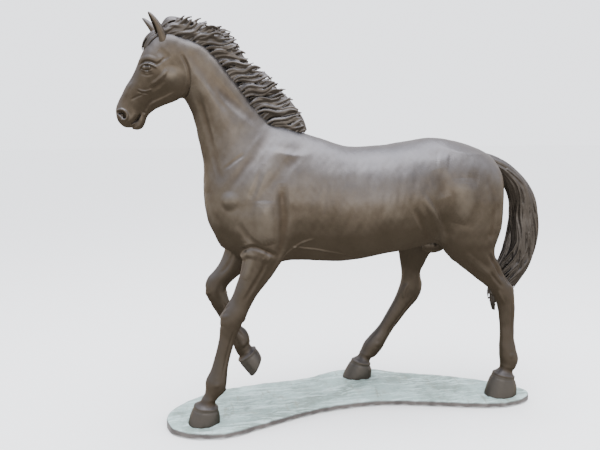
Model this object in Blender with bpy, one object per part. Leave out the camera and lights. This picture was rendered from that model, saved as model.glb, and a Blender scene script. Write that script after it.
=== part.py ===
"""Life-size standing horse in cast bronze: a hollow skin in welded sections, an armature, and a ground plate.

The frame: +X runs from the head to the tail, +Z is up, and Y = 0 is the plane through the spine, with the
horse's left side at -Y. The origin is on the underside of the ground plate, under the forward ribs.
"""

import math
from collections import namedtuple

import bmesh
import bpy
import numpy as np
from mathutils import Matrix, Vector

# Driving dimensions, in metres.
WITHERS_HEIGHT = 1.600  # from the top of the ground plate
WALL = 0.008  # every bronze casting
SEAM_GAP = 0.0004  # root gap of a weld between two castings
FIT_GAP = 0.0003  # between pieces that rest on or touch each other
CASTING_GAP = 0.0015  # between a casting and the skin that it is welded on to
SKIN_GRAIN = 0.016  # cell of the grid on which the muscles are blended
SKIN_DETAIL = 0.040  # share of the blended skin's faces that is kept
SKIN_FLOW = 14  # smoothing passes at the joins
SKIN_FLOW_ELSEWHERE = 0.05  # share of that smoothing away from the joins

PLATE_HEIGHT = 0.045
MOUND_RISE = 0.024  # the ground is higher under the right hind hoof
MOUND_TOP_RADIUS = 0.13
MOUND_FOOT_RADIUS = 0.32

LEG_ROD_DIAMETER = 0.025
ROD_HOLE_CLEARANCE = 0.001  # around a rod where it passes through the plate
WASHER_THICKNESS = 0.004
SPINE_TUBE_DIAMETER = 0.060
SPINE_TUBE_WALL = 0.004
SPINE_HEIGHT = 1.310  # of its middle, above the plate
CROSS_TUBE_DIAMETER = 0.048
CROSS_TUBE_WALL = 0.004
NECK_TUBE_DIAMETER = 0.042
NECK_TUBE_WALL = 0.003

FRAME_THICKNESS = 0.008  # hub, bars and pads
HUB_DIAMETER = 0.110
PAD_DIAMETER = 0.100
BAR_WIDTH = 0.040
SOCKET_ACROSS_FLATS = 0.030
SOCKET_BORE = 0.0175
SOCKET_HEADROOM = 0.003  # between an anchor socket and the plate over it

# The stations below are written for this height at the withers, with z counted from the top of the plate.
STATION_HEIGHT = 1.600
SCALE = WITHERS_HEIGHT / STATION_HEIGHT

# A station is one section across the body, the neck or a limb: its leading edge and its trailing edge in the
# X-Z plane, the y of its middle, its half width, where along it that width is (0 at the leading edge, 1 at the
# trailing edge), and how square its leading and its trailing half are (2 is an ellipse, 3 is boxy).
Station = namedtuple(
    "Station",
    "lead_x lead_z trail_x trail_z middle_y half_width widest lead_square trail_square",
    defaults=(0.5, 2.0, 2.0),
)

# From the breast to the buttocks; a section leads at the back line and trails at the belly.
TORSO = [
    (-0.695, 1.295, -0.685, 1.155, 0.000, 0.060),
    (-0.669, 1.395, -0.655, 1.035, 0.000, 0.145, 0.5, 2, 2.2),
    (-0.594, 1.475, -0.580, 0.935, 0.000, 0.205, 0.5, 2, 2.3),
    (-0.494, 1.535, -0.480, 0.875, 0.000, 0.225, 0.5, 1.9, 2.2),
    (-0.360, 1.585, -0.360, 0.855, 0.000, 0.235, 0.55, 1.75, 2.2),
    (-0.220, 1.600, -0.230, 0.865, 0.000, 0.250, 0.56, 1.7, 2.2),
    (-0.080, 1.561, -0.090, 0.857, 0.000, 0.275, 0.56, 1.8, 2.15),
    (0.100, 1.511, 0.080, 0.850, 0.000, 0.300, 0.56, 1.95, 2.1),
    (0.300, 1.515, 0.280, 0.878, 0.000, 0.305, 0.54, 2, 2.1),
    (0.480, 1.539, 0.460, 0.902, 0.000, 0.295, 0.52, 2, 2.1),
    (0.620, 1.557, 0.600, 0.925, 0.000, 0.275, 0.48, 2, 2),
    (0.760, 1.538, 0.740, 0.960, 0.000, 0.250, 0.45, 2, 2),
    (0.880, 1.498, 0.880, 1.010, 0.000, 0.210, 0.42, 2, 2),
    (0.960, 1.460, 0.965, 1.095, 0.000, 0.165, 0.42, 2, 2),
    (1.020, 1.405, 1.020, 1.205, 0.000, 0.090, 0.45, 2, 2),
]
# From inside the shoulders to the poll; a section leads at the crest and trails at the throat.
NECK = [
    (-0.200, 1.555, -0.620, 0.975, 0.000, 0.170, 0.6, 1.8, 2.2),
    (-0.260, 1.610, -0.682, 1.155, 0.000, 0.185, 0.62, 1.7, 2.2),
    (-0.325, 1.640, -0.704, 1.315, 0.000, 0.165, 0.62, 1.6, 2.2),
    (-0.395, 1.710, -0.724, 1.465, 0.000, 0.138, 0.6, 1.6, 2.1),
    (-0.465, 1.790, -0.744, 1.575, 0.000, 0.118, 0.58, 1.6, 2.1),
    (-0.530, 1.880, -0.764, 1.665, 0.000, 0.105, 0.58, 1.65, 2),
    (-0.600, 1.975, -0.797, 1.745, 0.000, 0.095, 0.58, 1.7, 2),
    (-0.690, 2.055, -0.835, 1.805, 0.000, 0.088, 0.55, 1.75, 2),
    (-0.780, 2.100, -0.900, 1.885, 0.000, 0.080, 0.5, 1.8, 2),
    (-0.880, 2.105, -0.950, 1.975, 0.000, 0.060),
]
# Skull and nose, from the poll to the upper lip; a section leads at the forehead.
HEAD = [
    (-0.865, 2.120, -0.800, 2.070, 0.000, 0.035),
    (-0.915, 2.118, -0.795, 2.015, 0.000, 0.066),
    (-0.970, 2.087, -0.787, 1.945, 0.000, 0.082, 0.45, 2.2, 2),
    (-1.005, 2.032, -0.785, 1.875, 0.000, 0.093, 0.38, 2.4, 2),
    (-1.033, 1.972, -0.800, 1.810, 0.000, 0.096, 0.36, 2.6, 1.9),
    (-1.060, 1.915, -0.850, 1.770, 0.000, 0.088, 0.38, 2.6, 1.9),
    (-1.093, 1.857, -0.915, 1.745, 0.000, 0.074, 0.42, 2.5, 1.9),
    (-1.127, 1.799, -0.975, 1.720, 0.000, 0.060, 0.45, 2.4, 2),
    (-1.153, 1.753, -1.010, 1.693, 0.000, 0.052, 0.48, 2.4, 2),
    (-1.168, 1.719, -1.030, 1.670, 0.000, 0.051, 0.5, 2.4, 2),
    (-1.168, 1.685, -1.048, 1.655, 0.000, 0.052, 0.5, 2.3, 2),
    (-1.158, 1.651, -1.065, 1.634, 0.000, 0.047, 0.5, 2.2, 2),
    (-1.135, 1.626, -1.085, 1.621, 0.000, 0.034),
    (-1.120, 1.617, -1.100, 1.616, 0.000, 0.015),
]
# Lower jaw, from behind the cheek to the lower lip.
JAW = [
    (-0.860, 1.945, -0.788, 1.905, 0.000, 0.055),
    (-0.900, 1.885, -0.783, 1.845, 0.000, 0.066),
    (-0.930, 1.835, -0.805, 1.793, 0.000, 0.066),
    (-0.970, 1.795, -0.860, 1.758, 0.000, 0.058),
    (-1.010, 1.755, -0.920, 1.733, 0.000, 0.046),
    (-1.035, 1.720, -0.970, 1.708, 0.000, 0.038),
    (-1.055, 1.690, -1.005, 1.677, 0.000, 0.035),
    (-1.068, 1.649, -1.020, 1.639, 0.000, 0.038),
    (-1.080, 1.624, -1.035, 1.613, 0.000, 0.034),
    (-1.087, 1.609, -1.060, 1.604, 0.000, 0.020),
]
# Planted well forward. Every leg runs from inside the body to below the top of the plate.
LEFT_FORE = [
    (-0.380, 1.475, -0.160, 1.455, -0.100, 0.070),
    (-0.500, 1.335, -0.130, 1.295, -0.130, 0.100),
    (-0.585, 1.175, -0.180, 1.135, -0.150, 0.112),
    (-0.565, 1.035, -0.251, 1.005, -0.155, 0.105),
    (-0.520, 0.955, -0.306, 0.905, -0.158, 0.088),
    (-0.535, 0.880, -0.351, 0.840, -0.160, 0.073),
    (-0.550, 0.815, -0.411, 0.765, -0.162, 0.060),
    (-0.575, 0.745, -0.459, 0.700, -0.163, 0.051),
    (-0.603, 0.690, -0.491, 0.645, -0.164, 0.047, 0.5, 2.2, 2),
    (-0.632, 0.645, -0.513, 0.600, -0.165, 0.050, 0.5, 2.4, 2),
    (-0.654, 0.590, -0.537, 0.560, -0.165, 0.050, 0.5, 2.4, 2),
    (-0.660, 0.540, -0.557, 0.515, -0.165, 0.043, 0.5, 2.2, 2),
    (-0.664, 0.495, -0.577, 0.465, -0.165, 0.036),
    (-0.676, 0.425, -0.597, 0.405, -0.165, 0.033),
    (-0.696, 0.355, -0.613, 0.340, -0.165, 0.034),
    (-0.716, 0.295, -0.623, 0.280, -0.165, 0.040),
    (-0.744, 0.235, -0.630, 0.220, -0.165, 0.048),
    (-0.748, 0.190, -0.642, 0.170, -0.165, 0.045),
    (-0.758, 0.155, -0.678, 0.135, -0.165, 0.042),
    (-0.785, 0.120, -0.688, 0.105, -0.165, 0.050),
    (-0.812, 0.095, -0.680, 0.075, -0.165, 0.060, 0.45, 2, 2.2),
    (-0.835, 0.040, -0.672, 0.035, -0.165, 0.067, 0.42, 2, 2.2),
    (-0.848, -0.005, -0.672, -0.005, -0.165, 0.072, 0.42, 2, 2.2),
    (-0.850, -0.030, -0.672, -0.030, -0.165, 0.072, 0.42, 2, 2.2),
]
# Lifted, with the knee bent and the hoof hanging behind the left cannon.
RIGHT_FORE = [
    (-0.380, 1.475, -0.160, 1.455, 0.100, 0.070),
    (-0.500, 1.335, -0.130, 1.295, 0.130, 0.100),
    (-0.590, 1.175, -0.196, 1.135, 0.150, 0.112),
    (-0.605, 1.035, -0.316, 0.985, 0.155, 0.105),
    (-0.590, 0.935, -0.386, 0.875, 0.155, 0.085),
    (-0.615, 0.855, -0.456, 0.795, 0.155, 0.070),
    (-0.658, 0.785, -0.541, 0.730, 0.152, 0.054),
    (-0.700, 0.740, -0.580, 0.695, 0.150, 0.049, 0.5, 2.2, 2),
    (-0.715, 0.690, -0.590, 0.667, 0.150, 0.051, 0.5, 2.4, 2),
    (-0.707, 0.640, -0.585, 0.640, 0.150, 0.049, 0.5, 2.4, 2),
    (-0.685, 0.590, -0.573, 0.600, 0.150, 0.042, 0.5, 2.2, 2),
    (-0.650, 0.530, -0.560, 0.560, 0.150, 0.035),
    (-0.615, 0.460, -0.535, 0.500, 0.150, 0.033),
    (-0.585, 0.400, -0.510, 0.445, 0.150, 0.034),
    (-0.560, 0.345, -0.475, 0.405, 0.150, 0.040),
    (-0.545, 0.300, -0.457, 0.365, 0.150, 0.046),
    (-0.533, 0.270, -0.458, 0.333, 0.150, 0.042),
    (-0.522, 0.240, -0.440, 0.307, 0.150, 0.047),
    (-0.520, 0.217, -0.418, 0.293, 0.150, 0.057, 0.45, 2, 2.2),
    (-0.492, 0.173, -0.396, 0.263, 0.150, 0.066, 0.42, 2, 2.2),
    (-0.455, 0.123, -0.386, 0.240, 0.150, 0.070, 0.42, 2, 2.2),
    (-0.450, 0.118, -0.382, 0.235, 0.150, 0.066, 0.42, 2, 2.2),
]
# Planted behind, with an upright cannon.
LEFT_HIND = [
    (0.620, 1.475, 0.880, 1.455, -0.090, 0.100),
    (0.555, 1.355, 0.982, 1.355, -0.125, 0.135, 0.5, 2, 2.2),
    (0.545, 1.225, 1.002, 1.225, -0.145, 0.145, 0.48, 2, 2.2),
    (0.575, 1.095, 0.994, 1.085, -0.155, 0.138, 0.46, 2, 2.2),
    (0.610, 0.985, 0.977, 0.985, -0.160, 0.125, 0.45, 2, 2.1),
    (0.650, 0.905, 0.959, 0.915, -0.163, 0.105, 0.45, 2, 2),
    (0.710, 0.850, 0.962, 0.870, -0.165, 0.085),
    (0.785, 0.787, 0.990, 0.830, -0.166, 0.068),
    (0.850, 0.735, 1.018, 0.770, -0.167, 0.056),
    (0.905, 0.695, 1.052, 0.717, -0.168, 0.049),
    (0.949, 0.660, 1.092, 0.670, -0.168, 0.048, 0.5, 2.2, 1.9),
    (0.973, 0.620, 1.103, 0.623, -0.168, 0.047, 0.5, 2.2, 1.9),
    (0.997, 0.570, 1.108, 0.570, -0.168, 0.041),
    (1.012, 0.505, 1.109, 0.510, -0.168, 0.035),
    (1.024, 0.415, 1.114, 0.415, -0.168, 0.033),
    (1.030, 0.345, 1.120, 0.340, -0.168, 0.035),
    (1.030, 0.295, 1.134, 0.280, -0.168, 0.041),
    (1.032, 0.245, 1.150, 0.220, -0.168, 0.048),
    (1.040, 0.190, 1.137, 0.170, -0.168, 0.044),
    (1.030, 0.160, 1.122, 0.135, -0.168, 0.043),
    (0.997, 0.130, 1.130, 0.100, -0.168, 0.054, 0.45, 2, 2.2),
    (0.967, 0.065, 1.147, 0.050, -0.168, 0.066, 0.42, 2, 2.2),
    (0.947, -0.005, 1.147, -0.005, -0.168, 0.073, 0.42, 2, 2.2),
    (0.945, -0.030, 1.147, -0.030, -0.168, 0.073, 0.42, 2, 2.2),
]
# Planted under the belly, on the mound.
RIGHT_HIND = [
    (0.620, 1.475, 0.880, 1.455, 0.090, 0.100),
    (0.545, 1.355, 1.000, 1.355, 0.125, 0.135, 0.5, 2, 2.2),
    (0.510, 1.225, 1.000, 1.225, 0.145, 0.145, 0.48, 2, 2.2),
    (0.485, 1.095, 0.970, 1.085, 0.160, 0.138, 0.46, 2, 2.2),
    (0.475, 0.985, 0.905, 0.985, 0.170, 0.122, 0.45, 2, 2.1),
    (0.490, 0.895, 0.800, 0.905, 0.185, 0.100, 0.45, 2, 2),
    (0.510, 0.825, 0.715, 0.830, 0.195, 0.080),
    (0.526, 0.755, 0.680, 0.755, 0.205, 0.064),
    (0.535, 0.690, 0.660, 0.695, 0.210, 0.053),
    (0.533, 0.640, 0.670, 0.635, 0.212, 0.049, 0.5, 2.2, 1.9),
    (0.515, 0.585, 0.673, 0.575, 0.215, 0.048, 0.5, 2.2, 1.9),
    (0.492, 0.530, 0.646, 0.520, 0.217, 0.044),
    (0.462, 0.470, 0.593, 0.460, 0.219, 0.037),
    (0.425, 0.405, 0.533, 0.385, 0.221, 0.033),
    (0.380, 0.340, 0.483, 0.315, 0.223, 0.034),
    (0.335, 0.287, 0.448, 0.260, 0.224, 0.040),
    (0.298, 0.243, 0.416, 0.207, 0.225, 0.047),
    (0.276, 0.197, 0.380, 0.160, 0.225, 0.044),
    (0.250, 0.160, 0.340, 0.130, 0.225, 0.044),
    (0.215, 0.130, 0.335, 0.100, 0.225, 0.054, 0.45, 2, 2.2),
    (0.185, 0.085, 0.345, 0.070, 0.225, 0.066, 0.42, 2, 2.2),
    (0.158, 0.025, 0.343, 0.025, 0.225, 0.073, 0.42, 2, 2.2),
    (0.157, -0.006, 0.343, -0.006, 0.225, 0.073, 0.42, 2, 2.2),
]
# Locks of hair, each with its outer edge first and its inner edge, which lies inside the horse, second.
MANE = [
    (-0.932, 2.135, -0.900, 2.070, 0.012, 0.020),
    (-0.885, 2.193, -0.850, 2.055, 0.016, 0.042),
    (-0.790, 2.186, -0.790, 2.045, 0.022, 0.050),
    (-0.695, 2.155, -0.720, 2.010, 0.028, 0.054),
    (-0.605, 2.118, -0.660, 1.960, 0.032, 0.056),
    (-0.520, 2.050, -0.600, 1.895, 0.034, 0.056),
    (-0.445, 1.950, -0.540, 1.805, 0.034, 0.056),
    (-0.365, 1.862, -0.470, 1.715, 0.032, 0.054),
    (-0.275, 1.815, -0.400, 1.640, 0.026, 0.050),
    (-0.205, 1.740, -0.320, 1.580, 0.018, 0.044),
    (-0.155, 1.665, -0.250, 1.555, 0.008, 0.034),
    (-0.135, 1.605, -0.200, 1.540, 0.000, 0.016),
]
FORELOCK = [
    (-0.920, 2.140, -0.895, 2.060, 0.000, 0.020),
    (-0.960, 2.128, -0.915, 2.055, 0.000, 0.022),
    (-1.000, 2.097, -0.945, 2.030, -0.003, 0.025),
    (-1.018, 2.055, -0.970, 2.000, -0.008, 0.024),
    (-1.030, 2.000, -0.990, 1.985, -0.012, 0.012),
]
TAIL = [
    (0.900, 1.470, 0.900, 1.380, 0.000, 0.040),
    (0.985, 1.457, 0.980, 1.370, 0.000, 0.048),
    (1.069, 1.424, 1.045, 1.335, 0.000, 0.054),
    (1.149, 1.374, 1.090, 1.285, 0.000, 0.060),
    (1.232, 1.295, 1.125, 1.235, 0.000, 0.068),
    (1.292, 1.201, 1.153, 1.169, 0.000, 0.075),
    (1.328, 1.078, 1.158, 1.083, 0.000, 0.080),
    (1.336, 0.962, 1.148, 0.983, 0.000, 0.082),
    (1.323, 0.852, 1.122, 0.880, 0.000, 0.080),
    (1.282, 0.729, 1.082, 0.785, 0.000, 0.074),
    (1.206, 0.618, 1.030, 0.685, 0.000, 0.060),
    (1.140, 0.540, 1.012, 0.600, 0.000, 0.044),
    (1.082, 0.478, 1.040, 0.505, 0.000, 0.018),
]
SHEATH = [
    (0.575, 0.960, 0.575, 0.890, 0.000, 0.020),
    (0.610, 0.965, 0.605, 0.872, 0.000, 0.036),
    (0.665, 0.970, 0.660, 0.866, 0.000, 0.040),
    (0.705, 0.970, 0.712, 0.885, 0.000, 0.034),
    (0.722, 0.955, 0.728, 0.915, 0.000, 0.018),
]
# The left ear; the right one mirrors it, and leans further forward for each metre of its
# height. The scoop is what its hollow front leaves out.
RIGHT_EAR_LEAN = 0.18
EAR = [
    (-0.925, 2.030, -0.880, 2.040, -0.046, 0.020),
    (-0.950, 2.095, -0.895, 2.100, -0.056, 0.026),
    (-0.967, 2.130, -0.915, 2.140, -0.062, 0.027),
    (-0.977, 2.170, -0.942, 2.178, -0.068, 0.018),
    (-0.978, 2.205, -0.970, 2.207, -0.072, 0.004),
]
EAR_SCOOP = [
    (-0.985, 2.085, -0.925, 2.090, -0.068, 0.012),
    (-1.000, 2.125, -0.938, 2.130, -0.074, 0.014),
    (-1.000, 2.165, -0.958, 2.170, -0.080, 0.008),
]

# The ground plate's outline, seen from above, anticlockwise from the front end: concave along the left side.
PLATE_OUTLINE = [
    (-0.965, -0.085),
    (-0.925, -0.195),
    (-0.820, -0.268),
    (-0.630, -0.296),
    (-0.440, -0.232),
    (-0.210, -0.146),
    (0.000, -0.098),
    (0.190, -0.082),
    (0.400, -0.106),
    (0.650, -0.178),
    (0.850, -0.242),
    (1.030, -0.268),
    (1.170, -0.236),
    (1.235, -0.170),
    (1.195, -0.070),
    (1.060, 0.050),
    (0.870, 0.170),
    (0.640, 0.275),
    (0.400, 0.355),
    (0.150, 0.376),
    (-0.110, 0.332),
    (-0.400, 0.306),
    (-0.640, 0.262),
    (-0.830, 0.150),
    (-0.935, 0.030),
]
PLATE_SEAM_X = -0.060  # where its two castings meet

LIMBS = [TORSO, NECK, HEAD, JAW, LEFT_FORE, RIGHT_FORE, LEFT_HIND, RIGHT_HIND]
# Where limbs flow into the body most: (point, radius).
JOINS = [
    ((-0.350, -0.130, 0.950), 0.34),
    ((-0.350, 0.130, 0.950), 0.34),
    ((0.700, -0.140, 0.980), 0.38),
    ((0.700, 0.150, 0.980), 0.38),
    ((-0.420, 0.000, 1.450), 0.46),
    ((-0.830, 0.000, 1.950), 0.20),
]

# Weld seams: the seam's front end and back end in the X-Z plane, and the span of y that it crosses.
SEAMS = {
    "poll_seam": ((-0.785, 1.690), (-0.758, 2.150), -0.30, 0.30),
    "withers_seam": ((-0.800, 1.290), (-0.285, 1.665), -0.45, 0.45),
    "girth_seam": ((-0.130, 0.780), (-0.130, 1.700), -0.45, 0.45),
    "flank_seam": ((0.455, 0.850), (0.455, 1.650), -0.45, 0.45),
    "left_forearm_seam": ((-0.620, 0.855), (-0.320, 0.783), -0.30, -0.02),
    "left_fore_cannon_seam": ((-0.730, 0.385), (-0.560, 0.365), -0.30, -0.02),
    "right_forearm_seam": ((-0.690, 0.870), (-0.420, 0.780), 0.02, 0.30),
    "right_fore_cannon_seam": ((-0.680, 0.520), (-0.520, 0.575), 0.02, 0.30),
    "left_thigh_seam": ((0.650, 0.840), (1.040, 0.862), -0.30, -0.02),
    "left_hind_cannon_seam": ((0.960, 0.440), (1.170, 0.440), -0.30, -0.02),
    "right_thigh_seam": ((0.430, 0.822), (0.780, 0.830), 0.02, 0.36),
    "right_hind_cannon_seam": ((0.360, 0.435), (0.590, 0.345), 0.02, 0.36),
}
MANE_SEAMS = {
    "mane_front_seam": ((-0.760, 1.990), (-0.620, 2.190), -0.20, 0.20),
    "mane_rear_seam": ((-0.520, 1.760), (-0.370, 2.020), -0.20, 0.20),
}
TAIL_SEAMS = {"tail_seam": ((1.090, 1.000), (1.400, 1.020), -0.20, 0.20)}

# A point near the middle of each casting that the seams leave.
SKIN_PIECES = {
    "head": (-0.980, 0.0, 1.880),
    "neck": (-0.620, 0.0, 1.640),
    "chest": (-0.400, 0.0, 1.200),
    "barrel": (0.170, 0.0, 1.200),
    "hindquarters": (0.750, 0.0, 1.180),
    "left_fore_upper": (-0.560, -0.165, 0.610),
    "left_fore_lower": (-0.720, -0.165, 0.150),
    "right_fore_upper": (-0.620, 0.150, 0.690),
    "right_fore_lower": (-0.510, 0.150, 0.350),
    "left_hind_upper": (0.960, -0.165, 0.660),
    "left_hind_lower": (1.070, -0.165, 0.180),
    "right_hind_upper": (0.580, 0.205, 0.600),
    "right_hind_lower": (0.320, 0.225, 0.180),
}
MANE_PIECES = {
    "mane_upper": (-0.800, 0.020, 2.150),
    "mane_middle": (-0.560, 0.035, 2.020),
    "mane_lower": (-0.280, 0.025, 1.720),
}
TAIL_PIECES = {
    "tail_upper": (1.180, 0.0, 1.230),
    "tail_lower": (1.180, 0.0, 0.760),
}

LIMB_SIDES = 32
HAIR_SIDES = 10
HAIR_GRAIN = 0.085
SMALL_SIDES = 8
SMALL_GRAIN = 0.030

SHARP_ANGLE = math.radians(40)
ROUND_SIDES = 18
PLATE_GRAIN = 0.090
PLATE_REACH = 1.4  # half the length of the ground that is modelled
GROUND_CELLS = (28, 14)

ROD_STRAIGHT = 0.030  # at the top of a rod
ROD_UPRIGHT_BELOW = 0.110
WASHER_SHARE = 2.0  # of the rod's diameter, as are the nut's sizes
NUT_SHARE = 0.5
NUT_FLATS_SHARE = 1.5
FORE_CROSS_X = -0.365
FORE_CROSS_HALF = 0.150
FORE_ROD_Y = 0.125
HIND_CROSS_X = 0.760
HIND_CROSS_HALF = 0.170
HIND_ROD_Y = 0.140
# For each leg rod: its leg, and the x and y of its top.
LEG_RODS = {
    "left_fore": (LEFT_FORE, FORE_CROSS_X, -FORE_ROD_Y),
    "left_hind": (LEFT_HIND, HIND_CROSS_X, -HIND_ROD_Y),
    "right_hind": (RIGHT_HIND, HIND_CROSS_X, HIND_ROD_Y),
}
SPINE_FRONT_X = -0.440
SPINE_BACK_X = 0.860
NECK_TUBE_FOOT = (-0.500, 0.0, 1.330)
NECK_TUBE_TOP = (-0.790, 0.0, 1.930)
# The way from each pad to its anchor socket, turned from the bar's direction.
SOCKET_TURNS = {
    "left_fore": math.radians(-100),
    "left_hind": math.radians(80),
    "right_hind": math.radians(90),
}
PLATE_PIECES = {
    "ground_plate_front": (-0.500, 0.000, -0.020),
    "ground_plate_rear": (0.560, 0.030, -0.020),
}


def clear_scene():
    for thing in list(bpy.data.objects):
        bpy.data.objects.remove(thing)


def to_world(x, y, z):
    """A point of the stations as a point of the statue."""
    return Vector((x * SCALE, y * SCALE, z * SCALE + PLATE_HEIGHT))


def middle_of(row):
    """The middle of a station."""
    section = Station(*row)
    x = (section.lead_x + section.trail_x) / 2
    z = (section.lead_z + section.trail_z) / 2
    return to_world(x, section.middle_y, z)


def mirrored(rows):
    """The same stations on the other side of the horse."""
    return [(*row[:4], -row[4], *row[5:]) for row in rows]


def pricked(rows):
    """An ear's stations turned to the horse's right side, where the ear leans further forward."""
    found = []
    for row in mirrored(rows):
        lean = RIGHT_EAR_LEAN * (row[1] - EAR[0][1])
        found.append((row[0] - lean, row[1], row[2] - lean, *row[3:]))
    return found


MOUND = middle_of(RIGHT_HIND[-1])


def height_on_plate(x, y):
    """Height of the plate's top: flat, with a low mound under the right hind hoof."""
    away = math.hypot(x - MOUND.x, y - MOUND.y) / SCALE
    fall = (away - MOUND_TOP_RADIUS) / (MOUND_FOOT_RADIUS - MOUND_TOP_RADIUS)
    fall = min(max(fall, 0.0), 1.0)
    return PLATE_HEIGHT + MOUND_RISE * (1 - fall * fall * (3 - 2 * fall))


def between(a, b, low, high, t):
    return a + (b - a) * (t - low) / (high - low)


def curve_point(p, knots, t):
    """A point of the Catmull-Rom span from p[1] to p[2]."""
    first = [between(p[i], p[i + 1], knots[i], knots[i + 1], t) for i in range(3)]
    second = [between(first[i], first[i + 1], knots[i], knots[i + 2], t) for i in range(2)]
    return between(second[0], second[1], knots[1], knots[2], t)


def smooth_rows(rows, step, closed=False):
    """More rows about a step apart, on a centripetal Catmull-Rom curve through the given ones."""
    rows = [np.array(row, float) for row in rows]
    if closed:
        padded = [rows[-1]] + rows + rows[:2]
    else:
        padded = [2 * rows[0] - rows[1]] + rows + [2 * rows[-1] - rows[-2]]
    found = []
    for index in range(len(padded) - 3):
        p = padded[index : index + 4]
        lengths = [max(np.linalg.norm((p[i + 1] - p[i])[:4]), 1e-6) for i in range(3)]
        knots = np.concatenate([[0.0], np.cumsum(np.sqrt(lengths))])
        pieces = max(1, round(lengths[1] / step))
        for piece in range(pieces):
            t = knots[1] + (knots[2] - knots[1]) * piece / pieces
            found.append(curve_point(p, knots, t))
    if not closed:
        found.append(rows[-1])
    return found


def link(name, data, material=None):
    thing = bpy.data.objects.new(name, data)
    bpy.context.scene.collection.objects.link(thing)
    if material:
        data.materials.append(material)
    return thing


def link_mesh(name, bm):
    """An object of a bmesh, in flat triangles with their fronts turned outwards."""
    bmesh.ops.recalc_face_normals(bm, faces=bm.faces)
    bmesh.ops.triangulate(bm, faces=bm.faces)
    mesh = bpy.data.meshes.new(name)
    bm.to_mesh(mesh)
    bm.free()
    return link(name, mesh)


def close_between(bm, low, high):
    """Side faces between two rings of corners."""
    for index in range(len(low)):
        after = (index + 1) % len(low)
        bm.faces.new((low[index], low[after], high[after], high[index]))


def section_ring(bm, section, sides):
    """The corners of one station's section."""
    ring = []
    for index in range(sides):
        angle = 2 * math.pi * index / sides
        forward, aside = math.cos(angle), math.sin(angle)
        if forward >= 0:
            power, reach = 2 / section.lead_square, section.widest
        else:
            power, reach = 2 / section.trail_square, 1 - section.widest
        along = section.widest - math.copysign(reach * abs(forward) ** power, forward)
        y = section.middle_y + math.copysign(section.half_width * abs(aside) ** power, aside)
        x = section.lead_x + (section.trail_x - section.lead_x) * along
        z = section.lead_z + (section.trail_z - section.lead_z) * along
        ring.append(bm.verts.new(to_world(x, y, z)))
    return ring


def limbs(name, tables, sides, step):
    """One object of closed limbs, each through its stations, with flat ends."""
    bm = bmesh.new()
    for stations in tables:
        rows = smooth_rows([Station(*row) for row in stations], step)
        rings = [section_ring(bm, Station(*row), sides) for row in rows]
        for ring, following in zip(rings, rings[1:]):
            close_between(bm, ring, following)
        bm.faces.new(rings[0])
        bm.faces.new(rings[-1])
    return link_mesh(name, bm)


def apply_modifiers(thing):
    """Replaces an object's mesh by the one that its modifiers make."""
    bpy.context.view_layer.update()
    graph = bpy.context.evaluated_depsgraph_get()
    mesh = bpy.data.meshes.new_from_object(thing.evaluated_get(graph), depsgraph=graph)
    thing.modifiers.clear()
    thing.data = mesh
    return thing


def set_aside(thing):
    """Marks an object as a cutter, which isn't a piece of the statue."""
    thing.hide_render = True
    thing.display_type = "WIRE"
    return thing


def combine(thing, other, operation, crosses_itself=False):
    """Cuts a closed mesh out of an object, or keeps what they share."""
    boolean = thing.modifiers.new("combine", "BOOLEAN")
    boolean.operation = operation
    boolean.object = other
    boolean.use_self = crosses_itself
    return apply_modifiers(thing)


def with_clearance(name, thing):
    """A cutter of an object's shape, larger by the gap that its neighbours keep."""
    cutter = set_aside(link(name, thing.data.copy()))
    for vertex in cutter.data.vertices:
        vertex.co += vertex.normal * CASTING_GAP
    return cutter


def hollow_out(thing, wall):
    """Gives a closed shape an inner surface, the wall's thickness further in."""
    shell = thing.modifiers.new("wall", "SOLIDIFY")
    shell.thickness = wall
    shell.offset = -1
    shell.use_even_offset = False
    return apply_modifiers(thing)


def blend_muscles(thing):
    """Blends the overlapping limbs into one smooth skin, which flows most at the joins."""
    grid = thing.modifiers.new("grain", "REMESH")
    grid.mode = "VOXEL"
    grid.voxel_size = SKIN_GRAIN * SCALE
    apply_modifiers(thing)
    joins = [(to_world(*point), radius * SCALE) for point, radius in JOINS]
    group = thing.vertex_groups.new(name="joins")
    for vertex in thing.data.vertices:
        nearness = max(1 - (vertex.co - point).length / radius for point, radius in joins)
        weight = min(max(2 * nearness, SKIN_FLOW_ELSEWHERE), 1.0)
        group.add([vertex.index], weight, "REPLACE")
    flow = thing.modifiers.new("flow", "SMOOTH")
    flow.factor = 0.5
    flow.iterations = SKIN_FLOW
    flow.vertex_group = group.name
    fewer = thing.modifiers.new("fewer", "DECIMATE")
    fewer.ratio = SKIN_DETAIL
    return apply_modifiers(thing)


def seam_sheet(name, front, back, low_y, high_y):
    """A thin cutter through one limb, as thick as the weld's root gap."""
    start, end = to_world(front[0], low_y, front[1]), to_world(back[0], high_y, back[1])
    along = Vector((end.x - start.x, 0, end.z - start.z))
    across = Vector((0, end.y - start.y, 0))
    lift = along.cross(across).normalized() * SEAM_GAP / 2
    outline = (start, start + along, start + along + across, start + across)
    bm = bmesh.new()
    low = [bm.verts.new(corner - lift) for corner in outline]
    high = [bm.verts.new(corner + lift) for corner in outline]
    close_between(bm, low, high)
    bm.faces.new(low)
    bm.faces.new(high)
    return set_aside(link_mesh(name, bm))


def cut_at_seams(thing, seams):
    for name, (front, back, low_y, high_y) in seams.items():
        combine(thing, seam_sheet(name, front, back, low_y, high_y), "DIFFERENCE")


def body_of(vertex, unseen):
    """All corners that are joined to this one by edges."""
    unseen.discard(vertex)
    reached = [vertex]
    for corner in reached:
        for edge in corner.link_edges:
            other = edge.other_vert(corner)
            if other in unseen:
                unseen.discard(other)
                reached.append(other)
    return reached


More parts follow.
